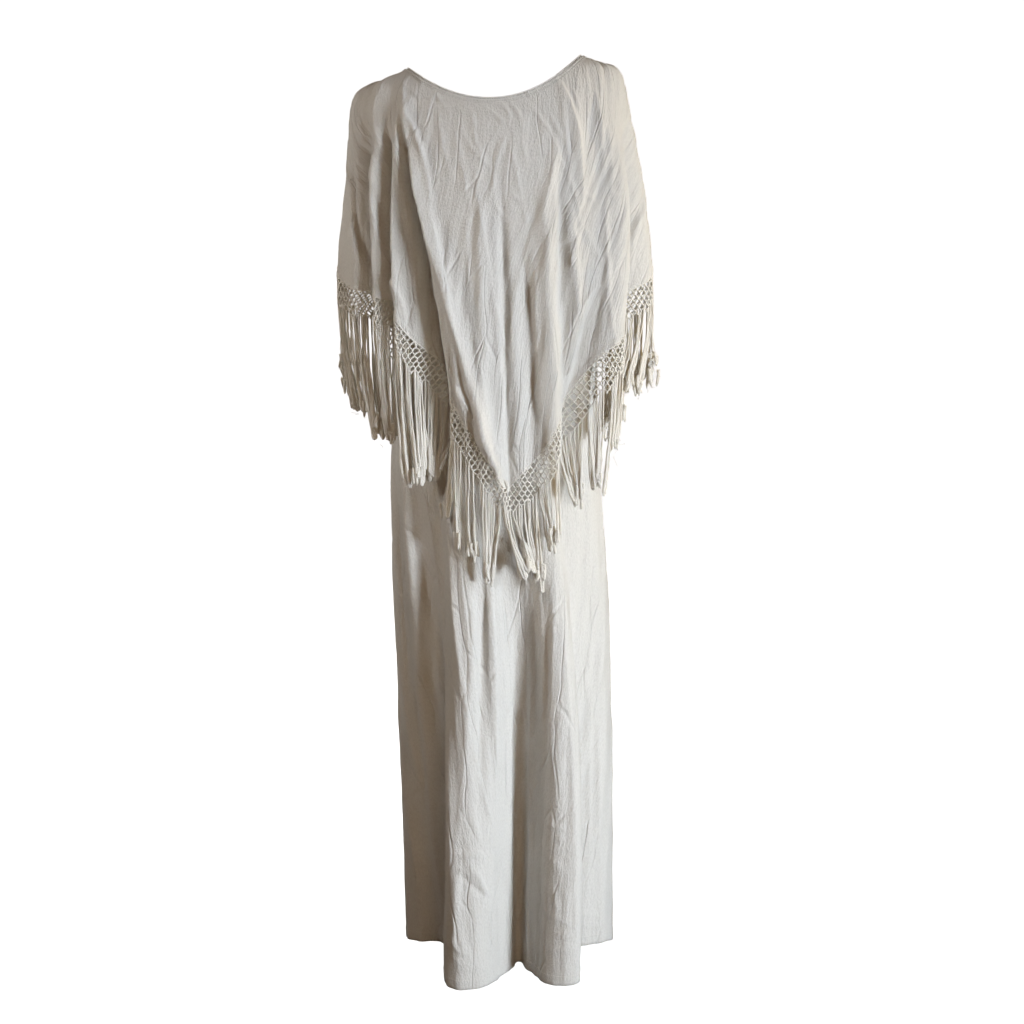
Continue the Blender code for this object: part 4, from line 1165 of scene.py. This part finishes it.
def node_group(name, sockets, build):
    """A shader node group with named sockets, built once."""
    group = bpy.data.node_groups.new(name, "ShaderNodeTree")
    for socket, in_out, kind, default in sockets:
        made = group.interface.new_socket(name=socket, in_out=in_out, socket_type=kind)
        if default is not None:
            made.default_value = default
    start = group.nodes.new("NodeGroupInput")
    end = group.nodes.new("NodeGroupOutput")
    build(group, start, end)
    return group


def math_node(tree, operation, first, second):
    """A sum on two sockets or numbers."""
    node = tree.nodes.new("ShaderNodeMath")
    node.operation = operation
    for place, value in enumerate((first, second)):
        if isinstance(value, (int, float)):
            node.inputs[place].default_value = value
        else:
            tree.links.new(value, node.inputs[place])
    return node.outputs[0]


def noise_node(tree, vector, scale, detail, stretch):
    """Noise whose pattern is stretched along each axis."""
    mapping = tree.nodes.new("ShaderNodeMapping")
    mapping.inputs["Scale"].default_value = stretch
    tree.links.new(vector, mapping.inputs["Vector"])
    noise = tree.nodes.new("ShaderNodeTexNoise")
    noise.noise_dimensions = "2D"
    noise.inputs["Scale"].default_value = scale
    noise.inputs["Detail"].default_value = detail
    tree.links.new(mapping.outputs[0], noise.inputs["Vector"])
    return noise.outputs["Fac"]


def range_node(tree, value, before, after):
    """Maps the range before to the range after, smoothly, and holds it at the ends."""
    node = tree.nodes.new("ShaderNodeMapRange")
    node.interpolation_type = "SMOOTHSTEP"
    for name, number in zip(("From Min", "From Max", "To Min", "To Max"), before + after):
        node.inputs[name].default_value = number
    tree.links.new(value, node.inputs["Value"])
    return node.outputs["Result"]


def build_crepe(tree, start, end):
    """Uneven upright crinkles with threads between them, and fine sharp creases in patches."""
    place = start.outputs["Place"]
    crinkle = noise_node(tree, place, 1.0, 2.0, (520, 240, 1))
    pucker = noise_node(tree, place, 1.0, 0.0, (240, 70, 1))
    split = tree.nodes.new("ShaderNodeSeparateXYZ")
    tree.links.new(place, split.inputs[0])
    warp = math_node(tree, "SINE", math_node(tree, "MULTIPLY", split.outputs[0], 5200.0), 0.0)
    weft = math_node(tree, "SINE", math_node(tree, "MULTIPLY", split.outputs[1], 4400.0), 0.0)
    thread = math_node(tree, "MULTIPLY", warp, weft)
    sharp = None
    for lean, cells in ((0.22, (26, 6, 1)), (-0.30, (17, 5, 1))):
        bent = noise_node(tree, place, 1.0, 1.0, (17, 11, 1))
        shifted = tree.nodes.new("ShaderNodeVectorMath")
        shifted.operation = "MULTIPLY_ADD"
        tree.links.new(bent, shifted.inputs[0])
        shifted.inputs[1].default_value = (0.018, 0.014, 0)
        tree.links.new(place, shifted.inputs[2])
        mapping = tree.nodes.new("ShaderNodeMapping")
        mapping.inputs["Rotation"].default_value = (0, 0, lean)
        mapping.inputs["Scale"].default_value = cells
        tree.links.new(shifted.outputs[0], mapping.inputs["Vector"])
        cell = tree.nodes.new("ShaderNodeTexVoronoi")
        cell.voronoi_dimensions = "2D"
        cell.feature = "DISTANCE_TO_EDGE"
        cell.inputs["Scale"].default_value = 1.0
        tree.links.new(mapping.outputs[0], cell.inputs["Vector"])
        line = range_node(tree, cell.outputs["Distance"], (0.0, 0.045), (1.0, 0.0))
        patch = noise_node(tree, place, 1.0, 0.0, (9 + 40 * lean, 7, 1))
        line = math_node(tree, "MULTIPLY", line, range_node(tree, patch, (0.45, 0.62), (0.0, 1.0)))
        sharp = line if sharp is None else math_node(tree, "ADD", sharp, line)
    total = math_node(tree, "MULTIPLY", sharp, start.outputs["Crease"])
    for part, share in ((crinkle, "Crinkle"), (pucker, "Pucker"), (thread, "Thread")):
        scaled = math_node(tree, "MULTIPLY", part, start.outputs[share])
        total = math_node(tree, "ADD", total, scaled)
    tree.links.new(total, end.inputs["Height"])
    # The crinkles alone drive the Shade output, which paints shade into their hollows
    tree.links.new(crinkle, end.inputs["Shade"])


def build_ply(tree, start, end):
    """Slanting plies round a yarn, with stray fibres."""
    split = tree.nodes.new("ShaderNodeSeparateXYZ")
    tree.links.new(start.outputs["Place"], split.inputs[0])
    along = math_node(tree, "MULTIPLY", split.outputs[1], start.outputs["Twist"])
    around = math_node(tree, "MULTIPLY", split.outputs[0], 3.0)
    turn = math_node(tree, "MULTIPLY", math_node(tree, "ADD", around, along), 6.2832)
    wave = math_node(tree, "SINE", turn, 0.0)
    fibre = noise_node(tree, start.outputs["Place"], 1.0, 3.0, (9, 900, 1))
    total = math_node(tree, "ADD", math_node(tree, "MULTIPLY", wave, 0.5), fibre)
    tree.links.new(total, end.inputs["Height"])
    # The fibres alone drive the Shade output, which paints shade between them
    tree.links.new(fibre, end.inputs["Shade"])


CREPE_SOCKETS = (
    ("Place", "INPUT", "NodeSocketVector", None),
    ("Crinkle", "INPUT", "NodeSocketFloat", 1.0),
    ("Pucker", "INPUT", "NodeSocketFloat", 0.8),
    ("Thread", "INPUT", "NodeSocketFloat", 0.06),
    ("Crease", "INPUT", "NodeSocketFloat", 1.0),
    ("Height", "OUTPUT", "NodeSocketFloat", None),
    ("Shade", "OUTPUT", "NodeSocketFloat", None),
)
PLY_SOCKETS = (
    ("Place", "INPUT", "NodeSocketVector", None),
    ("Twist", "INPUT", "NodeSocketFloat", 240.0),
    ("Height", "OUTPUT", "NodeSocketFloat", None),
    ("Shade", "OUTPUT", "NodeSocketFloat", None),
)
# deep is the painted shade colour that the cloth takes in the hollows of its bump
Finish = namedtuple("Finish", "group colour deep inside bump distance through values")


def cotton(name, finish):
    """Matt cotton that lets some light through, with the bump of its group, and painted shade: a
    darker colour in the bump's hollows.
    """
    if name in bpy.data.materials and bpy.data.materials[name].get("made_here"):
        return bpy.data.materials[name]
    material = bpy.data.materials.new(name)
    material["made_here"] = True
    material.use_nodes = True
    tree = material.node_tree
    shader = tree.nodes["Principled BSDF"]
    output = tree.nodes["Material Output"]
    place = tree.nodes.new("ShaderNodeUVMap")
    place.uv_map = "weave"
    surface = tree.nodes.new("ShaderNodeGroup")
    surface.node_tree = bpy.data.node_groups[finish.group]
    tree.links.new(place.outputs[0], surface.inputs["Place"])
    for socket, value in finish.values.items():
        surface.inputs[socket].default_value = value
    # Painted shade: the colour turns to the darker deep colour where the group's Shade output,
    # which follows its bump, is low
    mix = tree.nodes.new("ShaderNodeMix")
    mix.data_type = "RGBA"
    mix.inputs["A"].default_value = (*finish.deep, 1)
    mix.inputs["B"].default_value = (*finish.colour, 1)
    hollow_shade = tree.nodes.new("ShaderNodeMapRange")
    hollow_shade.inputs["From Min"].default_value = 0.3
    hollow_shade.inputs["From Max"].default_value = 0.6
    tree.links.new(surface.outputs["Shade"], hollow_shade.inputs["Value"])
    tree.links.new(hollow_shade.outputs["Result"], mix.inputs["Factor"])
    bump = tree.nodes.new("ShaderNodeBump")
    bump.inputs["Strength"].default_value = finish.bump
    bump.inputs["Distance"].default_value = finish.distance
    tree.links.new(surface.outputs["Height"], bump.inputs["Height"])
    tree.links.new(bump.outputs["Normal"], shader.inputs["Normal"])
    tree.links.new(mix.outputs["Result"], shader.inputs["Base Color"])
    shader.inputs["Roughness"].default_value = 0.95
    shader.inputs["Specular IOR Level"].default_value = 0.15
    shader.inputs["Sheen Weight"].default_value = 0.15
    shader.inputs["Sheen Roughness"].default_value = 0.5
    through = tree.nodes.new("ShaderNodeBsdfTranslucent")
    through.inputs["Color"].default_value = (*finish.inside, 1)
    tree.links.new(bump.outputs["Normal"], through.inputs["Normal"])
    blend = tree.nodes.new("ShaderNodeMixShader")
    blend.inputs["Fac"].default_value = finish.through
    tree.links.new(shader.outputs[0], blend.inputs[1])
    tree.links.new(through.outputs[0], blend.inputs[2])
    tree.links.new(blend.outputs[0], output.inputs["Surface"])
    return material


def shade_of(colour, share):
    """The colour, darker."""
    return tuple(part * share for part in colour)


def gauze(name):
    """Crinkled off-white gauze."""
    colour = tuple(bpy.context.scene.dress_colours.gauze)
    values = {"Crinkle": 1.0, "Pucker": 0.8, "Thread": 0.06, "Crease": 1.25}
    # The deep colour, 0.90 of the gauze's, is the painted shade in the crinkles' hollows
    return cotton(name, Finish("crepe", colour, shade_of(colour, 0.90), (0.86, 0.80, 0.66),
                               0.8, 0.0013, 0.28, values))


def yarn_finish(colour, inside, through):
    """The finish of plied cotton, with painted shade in the hollows between its fibres."""
    return Finish("ply", colour, shade_of(colour, 0.9), inside, 0.4, 0.0005, through,
                  {"Twist": 230.0})


def soft_yarn(name):
    """Soft off-white cotton yarn."""
    colour = tuple(bpy.context.scene.dress_colours.yarn)
    return cotton(name, yarn_finish(colour, (0.90, 0.84, 0.70), 0.30))


def seam_shadow_thread(name):
    """The thread of the neck's two seams, painted at half the yarn's brightness as the shadow
    along the seams.
    """
    colour = shade_of(tuple(bpy.context.scene.dress_colours.yarn), 0.5)
    return cotton(name, yarn_finish(colour, colour, 0.1))


class DRESS_OT_surfaces(Operator):
    """Makes the shared patterns of the gauze and the yarn."""

    bl_idname = "fringe_dress.surfaces"
    bl_label = "Cloth and yarn patterns"

    def execute(self, context):
        node_group("crepe", CREPE_SOCKETS, build_crepe)
        node_group("ply", PLY_SOCKETS, build_ply)
        return {"FINISHED"}


class DRESS_OT_cape(Operator):
    """Makes the front and back cape panels."""

    bl_idname = "fringe_dress.cape"
    bl_label = "Cape panels"

    def execute(self, context):
        for half, side in ((FRONT, "front"), (BACK, "back")):
            cut = cut_panel("cape", half)
            piece = cut.piece("gauze_cape_" + side, half, gauze("cape_cotton"), "cape_gauze")
            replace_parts(piece, "cape_" + side)
        return {"FINISHED"}


class DRESS_OT_skirt(Operator):
    """Makes the front and back panels of the long dress."""

    bl_idname = "fringe_dress.skirt"
    bl_label = "Dress panels"

    def execute(self, context):
        for half, side in ((FRONT, "front"), (BACK, "back")):
            cut = cut_panel("dress", half)
            piece = cut.piece("gauze_dress_" + side, half, gauze("dress_cotton"), "dress_gauze")
            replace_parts(piece, "dress_" + side)
        return {"FINISHED"}


class DRESS_OT_binding(Operator):
    """Makes the folded strip round the neck."""

    bl_idname = "fringe_dress.binding"
    bl_label = "Neck binding"

    def execute(self, context):
        swell = np.array(BINDING_SWELL)
        grids = []
        for half in (FRONT, BACK):
            angles, rows = binding_lines(half, BINDING_WAYS, BINDING_COLUMNS)
            base = cape_surface(angles, rows)
            normal = grid_normals(base, outward_way(angles))
            grids.append((base - normal * BINDING_INSET, normal))
        base, normal = [np.concatenate((grids[0][k], grids[1][k][:, -2:0:-1]), axis=1)
                        for k in (0, 1)]
        across = np.linspace(0, 2 * np.pi, base.shape[1], endpoint=False)
        pucker = BINDING_PUCKER * np.sin(across * 97 + 2 * np.sin(across * 11))
        out = base + normal * (swell[:, None, None] + pucker[None, :, None])
        back = base - normal * swell[:, None, None]
        ring = np.concatenate([out, back[::-1]])
        rows_count, columns_count = ring.shape[:2]
        number = np.arange(rows_count * columns_count).reshape(rows_count, columns_count)
        below, after = np.roll(number, -1, axis=0), np.roll(number, -1, axis=1)
        corner = np.roll(below, -1, axis=1)
        quads = np.stack([number, after, corner, below], axis=-1).reshape(-1, 4)
        weave_length, weave_step = BINDING_WEAVE
        lengths = np.linspace(0, weave_length, columns_count)
        at = np.stack(np.meshgrid(lengths, np.arange(rows_count) * weave_step), axis=-1)
        next_column = at + [lengths[1], 0]
        next_row = at + [0, weave_step]
        uvs = np.stack([at, next_column, next_column + [0, weave_step], next_row], axis=-2)
        piece = make_piece("folded_neck_binding", ring.reshape(-1, 3), quads,
                           np.zeros((0, 3), dtype=int), uvs.reshape(-1, 4, 2),
                           np.zeros((0, 3, 2)), gauze("binding_cotton"))
        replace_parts(piece, "neck_binding")
        # The strip shows outside and inside the neck, and turns over its edge
        return {"FINISHED"}


class DRESS_OT_fringe(Operator):
    """Makes the knotted net and the fringe of both cape hems."""

    bl_idname = "fringe_dress.fringe"
    bl_label = "Net and fringe"

    def execute(self, context):
        for half, side in ((FRONT, "front"), (BACK, "back")):
            dice = np.random.default_rng(70 + half)
            yarns = Yarns()
            cut = cut_panel("cape", half)
            roots, angles = knotted_net(yarns, cut, dice)
            hanging_fringe(yarns, roots, angles, half, dice)
            if half == FRONT:
                point_loop(yarns, cut)
            piece = yarns.piece("knotted_fringe_" + side, soft_yarn("fringe_cotton"), "yarn")
            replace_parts(piece, "fringe_" + side)
        return {"FINISHED"}


class DRESS_OT_stitches(Operator):
    bl_idname = "fringe_dress.stitches"
    bl_label = "Stitches"

    def execute(self, context):
        template = stitch_template()
        sizes = context.scene.dress_cloth
        thread = soft_yarn("sewing_cotton")
        neck = Yarns()
        for half in (FRONT, BACK):
            angles, rows = binding_lines(half, SEAM_WAYS, BINDING_COLUMNS)
            base = cape_surface(angles, rows)
            normal = grid_normals(base, outward_way(angles))
            for row in (1, 2):
                stitch_row(neck, base[row] + normal[row] * SEAM_LIFT, normal[row], template)
            if half == FRONT:
                nearest = np.abs(base[0, :, 0] - THREAD_TAIL_X).argmin()
                tail = base[0, nearest] + normal[0, nearest] * 0.0020
                drop = np.linspace(0, 1, 8)[:, None]
                neck.tube(tail + drop * [0.0016, -0.0016, -0.0085]
                          + np.sin(drop * 4) * [0.0007, 0, 0], 0.0008, 5)
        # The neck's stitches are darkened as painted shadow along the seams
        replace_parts(neck.piece("neck_stitches", seam_shadow_thread("seam_shadow_cotton"), "yarn"),
                    "neck_binding")
        for half, side in ((FRONT, "front"), (BACK, "back")):
            for kind, depth in (("cape", sizes.cape_hem_depth), ("dress", sizes.hem_depth)):
                yarns = Yarns()
                cut = cut_panel(kind, half)
                length = running_length(cut.middle)
                way = length[-1] - depth + 0.0016
                path = np.array([[np.interp(way[k], length[:, k], cut.middle[:, k, axis])
                                  for axis in range(3)] for k in range(len(way))])
                up = np.array([[np.interp(way[k], length[:, k], cut.normal[:, k, axis])
                                for axis in range(3)] for k in range(len(way))])
                stitch_row(yarns, path + up * (sizes.thickness / 2 + 0.0001), up, template)
                if kind == "cape":
                    yarns.tube(cut.middle[-1], sizes.roll_radius, 6)
                stitches = yarns.piece("%s_hem_stitches_%s" % (kind, side), thread, "yarn")
                flat, area = flat_cut(cut)
        return {"FINISHED"}


def stage_sweep(low):
    """A floor that curves up into a backdrop, drawn out edge by edge from a plane."""
    bend = STAGE_FAR - STAGE_CURVE
    deselect_all()
    bpy.ops.mesh.primitive_plane_add(size=2, location=(0, 0, 0))
    sweep = bpy.context.object
    sweep.name = "stage_sweep"
    mesh = sweep.data
    bpy.ops.object.mode_set(mode="EDIT")
    bpy.ops.mesh.select_all(action="SELECT")
    bpy.ops.transform.resize(value=(STAGE_HALF_WIDTH, (bend - STAGE_NEAR) / 2, 1))
    bpy.ops.transform.translate(value=(0, (bend + STAGE_NEAR) / 2, low - STAGE_GAP))
    bpy.ops.mesh.select_all(action="DESELECT")
    bpy.ops.object.mode_set(mode="OBJECT")
    for vertex in mesh.vertices:
        vertex.select = vertex.co.y > 0
    for edge in mesh.edges:
        edge.select = all(mesh.vertices[end].select for end in edge.vertices)
    profile = [(bend, 0.0)]
    for turn in np.linspace(0, np.pi / 2, STAGE_STEPS + 1)[1:]:
        profile.append((bend + STAGE_CURVE * np.sin(turn),
                        STAGE_CURVE - STAGE_CURVE * np.cos(turn)))
    profile.append((STAGE_FAR, STAGE_HEIGHT))
    bpy.ops.object.mode_set(mode="EDIT")
    for (back, up), (next_back, next_up) in zip(profile, profile[1:]):
        step = (0, next_back - back, next_up - up)
        bpy.ops.mesh.extrude_edges_move(TRANSFORM_OT_translate={"value": step})
    bpy.ops.object.mode_set(mode="OBJECT")
    mesh.shade_smooth()
    return sweep


def camera_mix(tree, others, camera, output):
    """Shows one shader to the camera and another to all other rays."""
    path = tree.nodes.new("ShaderNodeLightPath")
    mix = tree.nodes.new("ShaderNodeMixShader")
    tree.links.new(path.outputs["Is Camera Ray"], mix.inputs["Fac"])
    tree.links.new(others.outputs[0], mix.inputs[1])
    tree.links.new(camera.outputs[0], mix.inputs[2])
    tree.links.new(mix.outputs[0], tree.nodes[output].inputs["Surface"])


def stage_paint(colour):
    """Pale paint that looks evenly lit, and throws little light on the cloth."""
    material = bpy.data.materials.new("stage_paint")
    material.use_nodes = True
    tree = material.node_tree
    shader = tree.nodes["Principled BSDF"]
    shader.inputs["Base Color"].default_value = (*colour, 1)
    shader.inputs["Roughness"].default_value = 0.9
    shader.inputs["Specular IOR Level"].default_value = 0.1
    dim = tree.nodes.new("ShaderNodeBsdfDiffuse")
    dim.inputs["Color"].default_value = STAGE_SHADE
    glow = tree.nodes.new("ShaderNodeEmission")
    glow.inputs["Color"].default_value = (1, 1, 1, 1)
    glow.inputs["Strength"].default_value = 1.0
    seen = tree.nodes.new("ShaderNodeAddShader")
    tree.links.new(shader.outputs[0], seen.inputs[0])
    tree.links.new(glow.outputs[0], seen.inputs[1])
    camera_mix(tree, dim, seen, "Material Output")
    return material


def room(scene, colour):
    """A pale room that gives the cloth a little warm light."""
    scene.world = bpy.data.worlds.new("studio")
    scene.world.use_nodes = True
    sky = scene.world.node_tree
    warm = sky.nodes["Background"]
    warm.inputs["Color"].default_value = ROOM_COLOUR
    warm.inputs["Strength"].default_value = ROOM_STRENGTH
    pale = sky.nodes.new("ShaderNodeBackground")
    pale.inputs["Color"].default_value = (*colour, 1)
    camera_mix(sky, warm, pale, "World Output")


def hang_lamps(scene):
    """The soft lamps round the dress."""
    for lamp in LAMPS:
        data = bpy.data.lights.new(lamp.name, "AREA")
        data.energy = lamp.power
        data.color = lamp.colour
        data.size = lamp.size
        data.spread = np.radians(lamp.spread)
        thing = bpy.data.objects.new(lamp.name, data)
        thing.location = lamp.place
        away = Vector(lamp.aim) - Vector(lamp.place)
        thing.rotation_euler = away.to_track_quat("-Z", "Y").to_euler()
        scene.collection.objects.link(thing)


def set_camera(scene):
    """The camera, at the photograph's angle."""
    camera = bpy.data.cameras.new("camera")
    camera.lens = CAMERA_LENS
    camera.sensor_width = 36.0
    view = bpy.data.objects.new("camera", camera)
    view.location = CAMERA_PLACE
    view.rotation_euler = (np.radians(90 - CAMERA_TILT), 0, 0)
    scene.collection.objects.link(view)
    scene.camera = view


class DRESS_OT_stage(Operator):
    """Makes the pale floor and backdrop, the lights and the camera."""

    bl_idname = "fringe_dress.stage"
    bl_label = "Stage"

    def execute(self, context):
        scene = context.scene
        colour = tuple(scene.dress_colours.stage)
        sweep = stage_sweep(CAD_BOX[0][2])
        sweep.data.materials.append(stage_paint(colour))
        hang_lamps(scene)
        room(scene, colour)
        set_camera(scene)
        scene.view_settings.view_transform = "Standard"
        return {"FINISHED"}


class DRESS_PT_panel(Panel):
    """Lists the dress's sizes and pieces."""

    bl_idname = "DRESS_PT_panel"
    bl_label = "Fringe dress"
    bl_space_type = "VIEW_3D"
    bl_region_type = "UI"
    bl_category = "Fringe dress"

    def draw(self, context):
        for group in (context.scene.dress_cloth, context.scene.dress_net,
                      context.scene.dress_colours):
            box = self.layout.box()
            for name in group.__annotations__:
                box.prop(group, name)
        for operator in STEPS:
            self.layout.operator(operator.bl_idname)


GROUPS = (ClothSizes, NetSizes, Colours)
STEPS = (DRESS_OT_surfaces, DRESS_OT_stage, DRESS_OT_cape, DRESS_OT_skirt, DRESS_OT_binding,
         DRESS_OT_fringe, DRESS_OT_stitches)


def register():
    """Registers the sizes, operators and panel."""
    for kind in GROUPS + STEPS + (DRESS_PT_panel,):
        bpy.utils.register_class(kind)
    bpy.types.Scene.dress_cloth = PointerProperty(type=ClothSizes)
    bpy.types.Scene.dress_net = PointerProperty(type=NetSizes)
    bpy.types.Scene.dress_colours = PointerProperty(type=Colours)


def unregister():
    """Takes them away again."""
    del bpy.types.Scene.dress_colours
    del bpy.types.Scene.dress_net
    del bpy.types.Scene.dress_cloth
    for kind in reversed(GROUPS + STEPS + (DRESS_PT_panel,)):
        bpy.utils.unregister_class(kind)


def main():
    """Builds the dress."""
    register()
    bpy.ops.fringe_dress.surfaces()
    bpy.ops.fringe_dress.stage()
    bpy.ops.fringe_dress.cape()
    bpy.ops.fringe_dress.skirt()
    bpy.ops.fringe_dress.binding()
    bpy.ops.fringe_dress.fringe()
    bpy.ops.fringe_dress.stitches()


if __name__ == "__main__":
    main()
